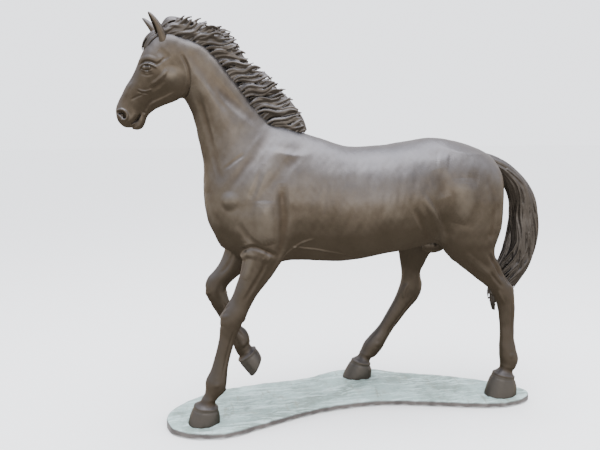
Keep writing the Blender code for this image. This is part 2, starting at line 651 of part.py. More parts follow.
def split_into_pieces(thing, labels, material):
    """Makes each separate body of a mesh its own object, named by the label nearest its middle."""
    bm = bmesh.new()
    bm.from_mesh(thing.data)
    unseen = set(bm.verts)
    bodies = []
    for vertex in bm.verts:
        if vertex in unseen:
            bodies.append(body_of(vertex, unseen))
    if len(bodies) != len(labels):
        sizes = [len(body) for body in bodies]
        raise ValueError(f"{thing.name} falls into bodies of {sizes} corners, not {len(labels)} pieces")
    for name, point in labels.items():
        spot = to_world(*point)
        body = min(bodies, key=lambda corners: distance_to_middle(corners, spot))
        piece = bmesh.new()
        copies = {corner: piece.verts.new(corner.co) for corner in body}
        for face in bm.faces:
            if face.verts[0] in copies:
                piece.faces.new([copies[corner] for corner in face.verts])
        finish(link_mesh(name, piece), material)
    bm.free()
    bpy.data.objects.remove(thing)


def distance_to_middle(corners, spot):
    middle = sum((vertex.co for vertex in corners), Vector()) / len(corners)
    return (middle - spot).length


def finish(thing, material):
    """Smooth shading, sharp at the edges, and the piece's metal."""
    thing.data.shade_smooth()
    thing.data.set_sharp_from_angle(angle=SHARP_ANGLE)
    thing.data.materials.clear()
    thing.data.materials.append(material)


def metal(name, color, roughness):
    material = bpy.data.materials.new(name)
    material.use_nodes = True
    shader = material.node_tree.nodes["Principled BSDF"]
    shader.inputs["Base Color"].default_value = (*color, 1)
    shader.inputs["Roughness"].default_value = roughness
    shader.inputs["Metallic"].default_value = 1.0
    return material


def ring(bm, width, z, hexagonal=False):
    """A ring of corners about the Z axis, round, or a hexagon that is this wide across its flats."""
    corners = []
    for index in range(ROUND_SIDES):
        angle = 2 * math.pi * index / ROUND_SIDES
        from_flat = angle % (math.pi / 3) - math.pi / 6
        radius = width / 2 / (math.cos(from_flat) if hexagonal else 1)
        corners.append(bm.verts.new((radius * math.cos(angle), radius * math.sin(angle), z)))
    return corners


def upright(name, spot, width, length, material, bore=0.0, hexagonal=False):
    """A bar, disc, nut or tube standing on a spot, with its axis along Z."""
    bm = bmesh.new()
    low, high = ring(bm, width, 0.0, hexagonal), ring(bm, width, length, hexagonal)
    close_between(bm, low, high)
    if bore:
        low_bore, high_bore = ring(bm, bore, 0.0), ring(bm, bore, length)
        close_between(bm, low_bore, high_bore)
        close_between(bm, low, low_bore)
        close_between(bm, high, high_bore)
    else:
        bm.faces.new(low)
        bm.faces.new(high)
    thing = link_mesh(name, bm)
    thing.location = spot
    finish(thing, material)
    return thing


def tube(name, start, end, diameter, wall, material):
    """A straight tube from one point to another, open at both ends."""
    length = (end - start).length
    thing = upright(name, start, diameter, length, material, bore=diameter - 2 * wall)
    thing.rotation_euler = (end - start).to_track_quat("Z", "Y").to_euler()


def bent_rod(name, points, diameter, material):
    """A solid round rod along a path."""
    curve = bpy.data.curves.new(name, "CURVE")
    curve.dimensions = "3D"
    curve.bevel_depth = diameter / 2
    curve.bevel_resolution = 2
    curve.use_fill_caps = True
    spline = curve.splines.new("POLY")
    spline.points.add(len(points) - 1)
    for point, spot in zip(spline.points, points):
        point.co = (*spot, 1)
    return link(name, curve, material)


def prism(name, outline, low_z, high_z):
    """An upright block with the given plan."""
    bm = bmesh.new()
    low = [bm.verts.new((x, y, low_z)) for x, y in outline]
    high = [bm.verts.new((x, y, high_z)) for x, y in outline]
    close_between(bm, low, high)
    bm.faces.new(low)
    bm.faces.new(high)
    return link_mesh(name, bm)


def ground_block(name, lift):
    """Everything below the plate's top, or below that surface moved up or down by the lift."""
    bm = bmesh.new()
    reach = PLATE_REACH * SCALE
    columns, rows = GROUND_CELLS
    tops = {}
    for i in range(columns + 1):
        for j in range(rows + 1):
            x, y = reach * (2 * i / columns - 1), reach / 2 * (2 * j / rows - 1)
            tops[i, j] = bm.verts.new((x, y, height_on_plate(x, y) + lift))
    for i in range(columns):
        for j in range(rows):
            bm.faces.new((tops[i, j], tops[i + 1, j], tops[i + 1, j + 1], tops[i, j + 1]))
    sides = bmesh.ops.extrude_face_region(bm, geom=list(bm.faces))["geom"]
    for corner in sides:
        if isinstance(corner, bmesh.types.BMVert):
            corner.co.z = -PLATE_HEIGHT
    return set_aside(link_mesh(name, bm))


def inset_outline(outline, inset):
    """The outline moved inwards along its own normals."""
    found = []
    for index, (x, y) in enumerate(outline):
        before, after = outline[index - 1], outline[(index + 1) % len(outline)]
        along = Vector((after[0] - before[0], after[1] - before[1])).normalized()
        found.append((x - along.y * inset, y + along.x * inset))
    return found


def rod_path(leg, top):
    """Down the middle of a leg, upright from its cross tube and upright down to its pad."""
    foot = middle_of(leg[-1])
    path = [top, top - Vector((0, 0, ROD_STRAIGHT))]
    ankle_height = ROD_UPRIGHT_BELOW * SCALE + PLATE_HEIGHT
    for row in leg:
        point = middle_of(row)
        if ankle_height + ROD_STRAIGHT < point.z < path[1].z - ROD_STRAIGHT:
            path.append(point)
    path.append(Vector((foot.x, foot.y, ankle_height)))
    path.append(Vector((foot.x, foot.y, FRAME_THICKNESS + FIT_GAP)))
    return path


clear_scene()

skin_bronze = metal("skin_bronze", (0.145, 0.098, 0.066), 0.38)
hair_bronze = metal("hair_bronze", (0.105, 0.072, 0.052), 0.50)
plate_bronze = metal("plate_bronze", (0.42, 0.50, 0.46), 0.65)
steel = metal("steel", (0.55, 0.55, 0.54), 0.35)

# The skin: all limbs blended into one closed form, hollowed out, then cut at the ground and at the seams.
form = blend_muscles(limbs("form", LIMBS, LIMB_SIDES, SKIN_GRAIN))

# Everything that is welded on to the skin is cut to this outside.
outside = with_clearance("outside", form)

hollow_out(form, WALL)
combine(form, ground_block("ground", FIT_GAP), "DIFFERENCE", crosses_itself=True)
cut_at_seams(form, SEAMS)
split_into_pieces(form, SKIN_PIECES, skin_bronze)

# The hair: hollow locks, open towards the skin that they are welded to.
for name, stations, seams, pieces in (
    ("mane", MANE, MANE_SEAMS, MANE_PIECES),
    ("tail", TAIL, TAIL_SEAMS, TAIL_PIECES),
):
    hair = limbs(name, [stations], HAIR_SIDES, HAIR_GRAIN)
    with_clearance(name + "_outside", hair)
    hollow_out(hair, WALL)
    combine(hair, outside, "DIFFERENCE", crosses_itself=True)
    cut_at_seams(hair, seams)
    split_into_pieces(hair, pieces, hair_bronze)

# The small castings are solid. An ear's hollow front is scooped out of it.
for name, stations, material in (
    ("forelock", FORELOCK, hair_bronze),
    ("sheath", SHEATH, skin_bronze),
    ("left_ear", EAR, skin_bronze),
    ("right_ear", pricked(EAR), skin_bronze),
):
    casting = limbs(name, [stations], SMALL_SIDES, SMALL_GRAIN)
    if stations not in (FORELOCK, SHEATH):
        hollow = EAR_SCOOP if name == "left_ear" else pricked(EAR_SCOOP)
        scoop = set_aside(limbs(name + "_scoop", [hollow], SMALL_SIDES, SMALL_GRAIN))
        combine(casting, scoop, "DIFFERENCE")
    combine(casting, outside, "DIFFERENCE")
    combine(casting, bpy.data.objects["mane_outside"], "DIFFERENCE")
    finish(casting, material)

# The ground plate: a tray with its open side down, cast in two halves.
edge = [(x * SCALE, y * SCALE) for x, y in smooth_rows(PLATE_OUTLINE, PLATE_GRAIN, closed=True)]
plate = prism("plate", edge, 0.0, PLATE_HEIGHT + 2 * MOUND_RISE)
combine(plate, ground_block("plate_top", 0.0), "INTERSECT")
tray = set_aside(prism("tray", inset_outline(edge, WALL), -PLATE_HEIGHT / 2, PLATE_HEIGHT + MOUND_RISE))
combine(tray, ground_block("plate_underside", -WALL), "INTERSECT")
combine(plate, tray, "DIFFERENCE")

# Three of the legs stand on the ends of steel rods, which pass through the plate to the frame inside it.
spine_z = SPINE_HEIGHT * SCALE + PLATE_HEIGHT
cross_z = spine_z - (SPINE_TUBE_DIAMETER + CROSS_TUBE_DIAMETER) / 2 - FIT_GAP
rod_top_z = cross_z - CROSS_TUBE_DIAMETER / 2 - FIT_GAP
bolt_bore = LEG_ROD_DIAMETER + 2 * FIT_GAP
up = Vector((0, 0, 1))
pads = {}
for name, (leg, x, y) in LEG_RODS.items():
    path = rod_path(leg, Vector((x * SCALE, y * SCALE, rod_top_z)))
    bent_rod(name + "_rod", path, LEG_ROD_DIAMETER, steel)
    foot = Vector((path[-1].x, path[-1].y, 0))
    passage = LEG_ROD_DIAMETER + 2 * ROD_HOLE_CLEARANCE
    drill = upright(name + "_drill", foot, passage, PLATE_HEIGHT + 2 * MOUND_RISE, steel)
    combine(plate, set_aside(drill), "DIFFERENCE")
    washer_z = height_on_plate(foot.x, foot.y) - WALL - FIT_GAP - WASHER_THICKNESS
    nut_z = washer_z - FIT_GAP - NUT_SHARE * LEG_ROD_DIAMETER
    upright(
        name + "_washer",
        foot + washer_z * up,
        WASHER_SHARE * LEG_ROD_DIAMETER,
        WASHER_THICKNESS,
        steel,
        bore=bolt_bore,
    )
    upright(
        name + "_nut",
        foot + nut_z * up,
        NUT_FLATS_SHARE * LEG_ROD_DIAMETER,
        NUT_SHARE * LEG_ROD_DIAMETER,
        steel,
        bore=bolt_bore,
        hexagonal=True,
    )
    pads[name] = foot
    upright(name + "_pad", foot, PAD_DIAMETER, FRAME_THICKNESS, steel)

# The frame: a hub, and a bar from it to each pad, all flush with the plate's lower edge.
upright("frame_hub", Vector(), HUB_DIAMETER, FRAME_THICKNESS, steel)
socket_height = PLATE_HEIGHT - WALL - SOCKET_HEADROOM
socket_reach = SOCKET_ACROSS_FLATS / 2 / math.cos(math.pi / 6) + FIT_GAP
for name, foot in pads.items():
    toward = foot.normalized()
    start = toward * (HUB_DIAMETER / 2 + FIT_GAP)
    end = foot - toward * (PAD_DIAMETER / 2 + FIT_GAP)
    aside = Vector((-toward.y, toward.x, 0)) * BAR_WIDTH / 2
    outline = [(p.x, p.y) for p in (start - aside, end - aside, end + aside, start + aside)]
    finish(prism(name + "_bar", outline, 0.0, FRAME_THICKNESS), steel)
    turn = SOCKET_TURNS[name]
    side = Matrix.Rotation(turn, 3, "Z") @ toward
    spot = foot + side * (PAD_DIAMETER / 2 + socket_reach)
    upright(name + "_socket", spot, SOCKET_ACROSS_FLATS, socket_height, steel, bore=SOCKET_BORE, hexagonal=True)

# The tubes that carry the body: two across it, with the spine lying on them, and one up the neck.
for name, x, half_length in (("fore", FORE_CROSS_X, FORE_CROSS_HALF), ("hind", HIND_CROSS_X, HIND_CROSS_HALF)):
    left = Vector((x * SCALE, -half_length * SCALE, cross_z))
    right = Vector((x * SCALE, half_length * SCALE, cross_z))
    tube(name + "_cross_tube", left, right, CROSS_TUBE_DIAMETER, CROSS_TUBE_WALL, steel)
spine_front = Vector((SPINE_FRONT_X * SCALE, 0, spine_z))
spine_back = Vector((SPINE_BACK_X * SCALE, 0, spine_z))
tube("spine_tube", spine_front, spine_back, SPINE_TUBE_DIAMETER, SPINE_TUBE_WALL, steel)
neck_foot, neck_top = to_world(*NECK_TUBE_FOOT), to_world(*NECK_TUBE_TOP)
tube("neck_tube", neck_foot, neck_top, NECK_TUBE_DIAMETER, NECK_TUBE_WALL, steel)

# The weld across the plate, cut last so that every hole is in both castings.
reach = PLATE_REACH * SCALE
weld_x = PLATE_SEAM_X * SCALE
weld_plan = [(weld_x, -reach), (weld_x + SEAM_GAP, -reach), (weld_x + SEAM_GAP, reach), (weld_x, reach)]
weld = set_aside(prism("plate_seam", weld_plan, -PLATE_HEIGHT, 2 * PLATE_HEIGHT + MOUND_RISE))
combine(plate, weld, "DIFFERENCE")
split_into_pieces(plate, PLATE_PIECES, plate_bronze)

# Cutters have done their work; what is left is parented to one handle.
statue = bpy.data.objects.new("statue", None)
bpy.context.scene.collection.objects.link(statue)
for thing in list(bpy.data.objects):
    if thing.type != "EMPTY" and not thing.hide_render:
        thing.parent = statue
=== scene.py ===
import math

import bmesh
import bpy
import numpy as np
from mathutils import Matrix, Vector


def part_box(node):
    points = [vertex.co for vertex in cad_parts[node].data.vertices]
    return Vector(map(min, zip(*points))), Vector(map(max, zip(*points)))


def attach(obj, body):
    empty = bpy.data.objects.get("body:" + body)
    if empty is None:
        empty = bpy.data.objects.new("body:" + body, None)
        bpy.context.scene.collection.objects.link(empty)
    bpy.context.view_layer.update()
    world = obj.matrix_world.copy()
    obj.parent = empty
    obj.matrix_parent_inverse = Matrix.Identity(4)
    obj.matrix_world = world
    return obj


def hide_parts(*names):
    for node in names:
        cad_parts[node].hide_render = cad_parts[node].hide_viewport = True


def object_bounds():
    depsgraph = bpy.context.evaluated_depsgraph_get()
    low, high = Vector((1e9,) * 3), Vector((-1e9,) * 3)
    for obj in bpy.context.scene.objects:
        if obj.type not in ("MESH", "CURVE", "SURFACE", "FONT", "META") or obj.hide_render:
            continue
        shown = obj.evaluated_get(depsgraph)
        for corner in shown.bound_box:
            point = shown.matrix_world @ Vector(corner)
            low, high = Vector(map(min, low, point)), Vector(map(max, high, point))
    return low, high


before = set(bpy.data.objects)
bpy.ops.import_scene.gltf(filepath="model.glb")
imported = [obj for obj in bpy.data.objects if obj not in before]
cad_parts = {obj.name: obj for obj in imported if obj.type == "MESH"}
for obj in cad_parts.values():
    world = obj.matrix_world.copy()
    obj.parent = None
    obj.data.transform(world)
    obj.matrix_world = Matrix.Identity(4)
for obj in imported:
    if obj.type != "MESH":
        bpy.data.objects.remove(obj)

import openvdb
from mathutils import Vector
from mathutils.bvhtree import BVHTree

cad_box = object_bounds()

# ---- Skin castings ---------------------------------------------------------------------
# The horse's body, head and legs: hollow bronze castings, welded edge to edge and chased
# until the seams vanish. The whole form is modelled at once, as the sculptor did in clay,
# and then cut into its castings at the weld seams.
PLATE_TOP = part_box("ground_plate_front")[1].z
SKIN_VOXEL = 0.0048
SHELL = 0.09  # how far from a surface its distance is kept
SIDES = 112
STEP = 0.012

# A section's two ends in the X-Z plane, its middle and half width in Y, where between the
# ends it is widest, and how square its two halves are. Heights are from the plate's top.
TORSO = [
    (-0.695, 1.295, -0.685, 1.155, 0.000, 0.060),
    (-0.669, 1.395, -0.655, 1.035, 0.000, 0.145, 0.5, 2, 2.2),
    (-0.594, 1.475, -0.580, 0.935, 0.000, 0.205, 0.5, 2, 2.3),
    (-0.494, 1.535, -0.480, 0.875, 0.000, 0.225, 0.5, 1.9, 2.2),
    (-0.360, 1.585, -0.360, 0.855, 0.000, 0.235, 0.55, 1.75, 2.2),
    (-0.220, 1.600, -0.230, 0.865, 0.000, 0.250, 0.56, 1.7, 2.2),
    (-0.080, 1.561, -0.090, 0.857, 0.000, 0.275, 0.56, 1.8, 2.15),
    (0.100, 1.511, 0.080, 0.850, 0.000, 0.300, 0.56, 1.95, 2.1),
    (0.300, 1.515, 0.280, 0.878, 0.000, 0.305, 0.54, 2, 2.1),
    (0.480, 1.539, 0.460, 0.902, 0.000, 0.295, 0.52, 2, 2.1),
    (0.620, 1.557, 0.600, 0.925, 0.000, 0.275, 0.48, 2, 2),
    (0.760, 1.538, 0.740, 0.960, 0.000, 0.250, 0.45, 2, 2),
    (0.880, 1.498, 0.880, 1.010, 0.000, 0.210, 0.42, 2, 2),
    (0.960, 1.460, 0.965, 1.095, 0.000, 0.165, 0.42, 2, 2),
    (1.020, 1.405, 1.020, 1.205, 0.000, 0.090, 0.45, 2, 2),
]
NECK = [
    (-0.200, 1.555, -0.620, 0.975, 0.000, 0.170, 0.6, 1.8, 2.2),
    (-0.260, 1.610, -0.682, 1.155, 0.000, 0.185, 0.62, 1.7, 2.2),
    (-0.325, 1.640, -0.704, 1.315, 0.000, 0.165, 0.62, 1.6, 2.2),
    (-0.395, 1.710, -0.724, 1.465, 0.000, 0.138, 0.6, 1.6, 2.1),
    (-0.465, 1.790, -0.744, 1.575, 0.000, 0.118, 0.58, 1.6, 2.1),
    (-0.530, 1.880, -0.764, 1.665, 0.000, 0.105, 0.58, 1.65, 2),
    (-0.600, 1.975, -0.797, 1.745, 0.000, 0.095, 0.58, 1.7, 2),
    (-0.690, 2.055, -0.835, 1.805, 0.000, 0.088, 0.55, 1.75, 2),
    (-0.780, 2.100, -0.900, 1.885, 0.000, 0.080, 0.5, 1.8, 2),
    (-0.880, 2.105, -0.950, 1.975, 0.000, 0.060),
]
HEAD = [
    (-0.865, 2.120, -0.800, 2.070, 0.000, 0.035),
    (-0.915, 2.118, -0.795, 2.015, 0.000, 0.066),
    (-0.970, 2.087, -0.787, 1.945, 0.000, 0.082, 0.45, 2.2, 2),
    (-1.005, 2.032, -0.785, 1.875, 0.000, 0.093, 0.38, 2.4, 2),
    (-1.033, 1.972, -0.800, 1.810, 0.000, 0.096, 0.36, 2.6, 1.9),
    (-1.060, 1.915, -0.850, 1.770, 0.000, 0.088, 0.38, 2.6, 1.9),
    (-1.093, 1.857, -0.915, 1.745, 0.000, 0.074, 0.42, 2.5, 1.9),
    (-1.127, 1.799, -0.975, 1.720, 0.000, 0.060, 0.45, 2.4, 2),
    (-1.153, 1.753, -1.010, 1.693, 0.000, 0.052, 0.48, 2.4, 2),
    (-1.168, 1.719, -1.030, 1.670, 0.000, 0.051, 0.5, 2.4, 2),
    (-1.168, 1.685, -1.048, 1.655, 0.000, 0.052, 0.5, 2.3, 2),
    (-1.158, 1.651, -1.065, 1.634, 0.000, 0.047, 0.5, 2.2, 2),
    (-1.135, 1.626, -1.085, 1.621, 0.000, 0.034),
    (-1.120, 1.617, -1.100, 1.616, 0.000, 0.015),
]
JAW = [
    (-0.860, 1.945, -0.788, 1.905, 0.000, 0.055),
    (-0.900, 1.885, -0.783, 1.845, 0.000, 0.066),
    (-0.930, 1.835, -0.805, 1.793, 0.000, 0.066),
    (-0.970, 1.795, -0.860, 1.758, 0.000, 0.058),
    (-1.010, 1.755, -0.920, 1.733, 0.000, 0.046),
    (-1.035, 1.720, -0.970, 1.708, 0.000, 0.038),
    (-1.055, 1.690, -1.005, 1.677, 0.000, 0.035),
    (-1.068, 1.649, -1.020, 1.639, 0.000, 0.038),
    (-1.080, 1.624, -1.035, 1.613, 0.000, 0.034),
    (-1.087, 1.609, -1.060, 1.604, 0.000, 0.020),
]
LEFT_FORE = [
    (-0.380, 1.475, -0.160, 1.455, -0.100, 0.070),
    (-0.500, 1.335, -0.130, 1.295, -0.130, 0.100),
    (-0.585, 1.175, -0.180, 1.135, -0.150, 0.112),
    (-0.565, 1.035, -0.251, 1.005, -0.155, 0.105),
    (-0.520, 0.955, -0.306, 0.905, -0.158, 0.088),
    (-0.535, 0.880, -0.351, 0.840, -0.160, 0.073),
    (-0.550, 0.815, -0.411, 0.765, -0.162, 0.060),
    (-0.575, 0.745, -0.459, 0.700, -0.163, 0.051),
    (-0.603, 0.690, -0.491, 0.645, -0.164, 0.047, 0.5, 2.2, 2),
    (-0.632, 0.645, -0.513, 0.600, -0.165, 0.050, 0.5, 2.4, 2),
    (-0.654, 0.590, -0.537, 0.560, -0.165, 0.050, 0.5, 2.4, 2),
    (-0.660, 0.540, -0.557, 0.515, -0.165, 0.043, 0.5, 2.2, 2),
    (-0.664, 0.495, -0.577, 0.465, -0.165, 0.036),
    (-0.676, 0.425, -0.597, 0.405, -0.165, 0.033),
    (-0.696, 0.355, -0.613, 0.340, -0.165, 0.034),
    (-0.716, 0.295, -0.623, 0.280, -0.165, 0.040),
    (-0.744, 0.235, -0.630, 0.220, -0.165, 0.048),
    (-0.748, 0.190, -0.642, 0.170, -0.165, 0.045),
    (-0.758, 0.155, -0.678, 0.135, -0.165, 0.042),
    (-0.785, 0.120, -0.688, 0.105, -0.165, 0.050),
    (-0.812, 0.095, -0.680, 0.075, -0.165, 0.060, 0.45, 2, 2.2),
    (-0.835, 0.040, -0.672, 0.035, -0.165, 0.067, 0.42, 2, 2.2),
    (-0.848, -0.005, -0.672, -0.005, -0.165, 0.072, 0.42, 2, 2.2),
    (-0.850, -0.030, -0.672, -0.030, -0.165, 0.072, 0.42, 2, 2.2),
]
RIGHT_FORE = [
    (-0.380, 1.475, -0.160, 1.455, 0.100, 0.070),
    (-0.500, 1.335, -0.130, 1.295, 0.130, 0.100),
    (-0.590, 1.175, -0.196, 1.135, 0.150, 0.112),
    (-0.605, 1.035, -0.316, 0.985, 0.155, 0.105),
    (-0.590, 0.935, -0.386, 0.875, 0.155, 0.085),
    (-0.615, 0.855, -0.456, 0.795, 0.155, 0.070),
    (-0.658, 0.785, -0.541, 0.730, 0.152, 0.054),
    (-0.700, 0.740, -0.580, 0.695, 0.150, 0.049, 0.5, 2.2, 2),
    (-0.715, 0.690, -0.590, 0.667, 0.150, 0.051, 0.5, 2.4, 2),
    (-0.707, 0.640, -0.585, 0.640, 0.150, 0.049, 0.5, 2.4, 2),
    (-0.685, 0.590, -0.573, 0.600, 0.150, 0.042, 0.5, 2.2, 2),
    (-0.650, 0.530, -0.560, 0.560, 0.150, 0.035),
    (-0.615, 0.460, -0.535, 0.500, 0.150, 0.033),
    (-0.585, 0.400, -0.510, 0.445, 0.150, 0.034),
    (-0.560, 0.345, -0.475, 0.405, 0.150, 0.040),
    (-0.545, 0.300, -0.457, 0.365, 0.150, 0.046),
    (-0.533, 0.270, -0.458, 0.333, 0.150, 0.042),
    (-0.522, 0.240, -0.440, 0.307, 0.150, 0.047),
    (-0.520, 0.217, -0.418, 0.293, 0.150, 0.057, 0.45, 2, 2.2),
    (-0.492, 0.173, -0.396, 0.263, 0.150, 0.066, 0.42, 2, 2.2),
    (-0.455, 0.123, -0.386, 0.240, 0.150, 0.070, 0.42, 2, 2.2),
    (-0.450, 0.118, -0.382, 0.235, 0.150, 0.066, 0.42, 2, 2.2),
]
LEFT_HIND = [
    (0.620, 1.475, 0.880, 1.455, -0.090, 0.100),
    (0.555, 1.355, 0.982, 1.355, -0.125, 0.135, 0.5, 2, 2.2),
    (0.545, 1.225, 1.002, 1.225, -0.145, 0.145, 0.48, 2, 2.2),
    (0.575, 1.095, 0.994, 1.085, -0.155, 0.138, 0.46, 2, 2.2),
    (0.610, 0.985, 0.977, 0.985, -0.160, 0.125, 0.45, 2, 2.1),
    (0.650, 0.905, 0.959, 0.915, -0.163, 0.105, 0.45, 2, 2),
    (0.710, 0.850, 0.962, 0.870, -0.165, 0.085),
    (0.785, 0.787, 0.990, 0.830, -0.166, 0.068),
    (0.850, 0.735, 1.018, 0.770, -0.167, 0.056),
    (0.905, 0.695, 1.052, 0.717, -0.168, 0.049),
    (0.949, 0.660, 1.092, 0.670, -0.168, 0.048, 0.5, 2.2, 1.9),
    (0.973, 0.620, 1.103, 0.623, -0.168, 0.047, 0.5, 2.2, 1.9),
    (0.997, 0.570, 1.108, 0.570, -0.168, 0.041),
    (1.012, 0.505, 1.109, 0.510, -0.168, 0.035),
    (1.024, 0.415, 1.114, 0.415, -0.168, 0.033),
    (1.030, 0.345, 1.120, 0.340, -0.168, 0.035),
    (1.030, 0.295, 1.134, 0.280, -0.168, 0.041),
    (1.032, 0.245, 1.150, 0.220, -0.168, 0.048),
    (1.040, 0.190, 1.137, 0.170, -0.168, 0.044),
    (1.030, 0.160, 1.122, 0.135, -0.168, 0.043),
    (0.997, 0.130, 1.130, 0.100, -0.168, 0.054, 0.45, 2, 2.2),
    (0.967, 0.065, 1.147, 0.050, -0.168, 0.066, 0.42, 2, 2.2),
    (0.947, -0.005, 1.147, -0.005, -0.168, 0.073, 0.42, 2, 2.2),
    (0.945, -0.030, 1.147, -0.030, -0.168, 0.073, 0.42, 2, 2.2),
]
RIGHT_HIND = [
    (0.620, 1.475, 0.880, 1.455, 0.090, 0.100),
    (0.545, 1.355, 1.000, 1.355, 0.125, 0.135, 0.5, 2, 2.2),
    (0.510, 1.225, 1.000, 1.225, 0.145, 0.145, 0.48, 2, 2.2),
    (0.485, 1.095, 0.970, 1.085, 0.160, 0.138, 0.46, 2, 2.2),
    (0.475, 0.985, 0.905, 0.985, 0.170, 0.122, 0.45, 2, 2.1),
    (0.490, 0.895, 0.800, 0.905, 0.185, 0.100, 0.45, 2, 2),
    (0.510, 0.825, 0.715, 0.830, 0.195, 0.080),
    (0.526, 0.755, 0.680, 0.755, 0.205, 0.064),
    (0.535, 0.690, 0.660, 0.695, 0.210, 0.053),
    (0.533, 0.640, 0.670, 0.635, 0.212, 0.049, 0.5, 2.2, 1.9),
    (0.515, 0.585, 0.673, 0.575, 0.215, 0.048, 0.5, 2.2, 1.9),
    (0.492, 0.530, 0.646, 0.520, 0.217, 0.044),
    (0.462, 0.470, 0.593, 0.460, 0.219, 0.037),
    (0.425, 0.405, 0.533, 0.385, 0.221, 0.033),
    (0.380, 0.340, 0.483, 0.315, 0.223, 0.034),
    (0.335, 0.287, 0.448, 0.260, 0.224, 0.040),
    (0.298, 0.243, 0.416, 0.207, 0.225, 0.047),
    (0.276, 0.197, 0.380, 0.160, 0.225, 0.044),
    (0.250, 0.160, 0.340, 0.130, 0.225, 0.044),
    (0.215, 0.130, 0.335, 0.100, 0.225, 0.054, 0.45, 2, 2.2),
    (0.185, 0.085, 0.345, 0.070, 0.225, 0.066, 0.42, 2, 2.2),
    (0.158, 0.025, 0.343, 0.025, 0.225, 0.073, 0.42, 2, 2.2),
    (0.157, -0.006, 0.343, -0.006, 0.225, 0.073, 0.42, 2, 2.2),
]


def rows_between(rows, step):
    """Full rows about a step apart, on a centripetal Catmull-Rom curve through the given ones."""
    full = np.array([list(row) + [0.5, 2.0, 2.0][len(row) - 6 :] for row in rows], float)
    full[:, [1, 3]] += PLATE_TOP
    padded = np.vstack([2 * full[0] - full[1], full, 2 * full[-1] - full[-2]])
    found = []
    for index in range(1, len(full)):
        p0, p1, p2, p3 = padded[index - 1 : index + 3]
        lengths = [
            max(np.linalg.norm((b - a)[:4]), 1e-6) for a, b in ((p0, p1), (p1, p2), (p2, p3))
        ]
        k0, k1, k2, k3 = np.concatenate([[0.0], np.cumsum(np.sqrt(lengths))])
        pieces = max(2, math.ceil(lengths[1] / step))
        for piece in range(pieces):
            t = k1 + (k2 - k1) * piece / pieces
            a1 = (k1 - t) / (k1 - k0) * p0 + (t - k0) / (k1 - k0) * p1
            a2 = (k2 - t) / (k2 - k1) * p1 + (t - k1) / (k2 - k1) * p2
            a3 = (k3 - t) / (k3 - k2) * p2 + (t - k2) / (k3 - k2) * p3
            b1 = (k2 - t) / (k2 - k0) * a1 + (t - k0) / (k2 - k0) * a2
            b2 = (k3 - t) / (k3 - k1) * a2 + (t - k1) / (k3 - k1) * a3
            found.append((k2 - t) / (k2 - k1) * b1 + (t - k1) / (k2 - k1) * b2)
    found.append(full[-1])
    return np.array(found)


def around_section(row, angles):
    """Points of one section: angle 0 is its leading edge, a quarter turn its +Y side."""
    lead_x, lead_z, trail_x, trail_z, middle, half_width, widest, lead_square, trail_square = row
    c, s = np.cos(angles), np.sin(angles)
    power = 2 / np.where(c >= 0, lead_square, trail_square)
    forward = np.sign(c) * np.abs(c) ** power
    aside = np.sign(s) * np.abs(s) ** power
    along = np.where(c >= 0, widest - widest * forward, widest - (1 - widest) * forward)
    x = lead_x + (trail_x - lead_x) * along
    z = lead_z + (trail_z - lead_z) * along
    return np.stack([x, middle + max(half_width, 0.001) * aside, z], axis=-1)


def loft(rows, sides=SIDES, step=STEP):
    """(points, triangles) of a closed limb through its sections, facing outwards."""
    angles = np.linspace(0, 2 * math.pi, sides, endpoint=False)
    rings = [around_section(row, angles) for row in rows_between(rows, step)]
    points = np.concatenate(rings + [rings[0].mean(0)[None], rings[-1].mean(0)[None]])
    near, far = len(points) - 2, len(points) - 1
    triangles = []
    for ring in range(len(rings) - 1):
        for side in range(sides):
            a, b = ring * sides + side, ring * sides + (side + 1) % sides
            triangles += [(a, b, b + sides), (a, b + sides, a + sides)]
    last = (len(rings) - 1) * sides
    for side in range(sides):
        after = (side + 1) % sides
        triangles += [(after, side, near), (last + side, last + after, far)]
    triangles = np.array(triangles)
    corners = points[triangles]
    if np.einsum("ij,ij->i", corners[:, 0], np.cross(corners[:, 1], corners[:, 2])).sum() < 0:
        triangles = triangles[:, ::-1]
    return points, triangles


class Clay:
    """A block of distances to a surface, which closed forms are added to."""

    def __init__(self, low, high, voxel):
        self.voxel = voxel
        self.low = np.array(low, float)
        self.count = np.ceil((np.array(high) - self.low) / voxel).astype(int) + 1
        self.band = max(3.0, SHELL / voxel)
        self.far = self.band * voxel
        self.distance = np.full(self.count, self.far, np.float32)
        self.transform = openvdb.createLinearTransform(voxelSize=voxel)

    def add(self, points, triangles, blend):
        """Joins a closed form, with a fillet about as wide as the blend."""
        placed = (points - self.low).astype(np.float32)
        grid = openvdb.FloatGrid.createLevelSetFromPolygons(
            placed,
            triangles=np.ascontiguousarray(triangles, np.uint32),
            transform=self.transform,
            halfWidth=self.band,
        )
        first = np.maximum(np.floor(placed.min(0) / self.voxel - self.band - 1), 0).astype(int)
        last = np.ceil(placed.max(0) / self.voxel + self.band + 2).astype(int)
        last = np.minimum(last, self.count)
        block = np.full(last - first, self.far, np.float32)
        grid.copyToArray(block, ijk=tuple(int(v) for v in first))
        region = tuple(slice(a, b) for a, b in zip(first, last))
        held = self.distance[region]
        overlap = np.maximum(blend - np.abs(held - block), 0) / blend
        self.distance[region] = np.minimum(held, block) - overlap**2 * blend / 4

    def surface(self):
        """(points, quads) of the form, facing outwards."""
        grid = openvdb.FloatGrid(self.far)
        grid.copyFromArray(self.distance)
        grid.transform = self.transform
        grid.gridClass = openvdb.GridClass.LEVEL_SET
        points, quads = grid.convertToQuads(0.0)
        return np.asarray(points, float) + self.low, np.asarray(quads, int)[:, ::-1]


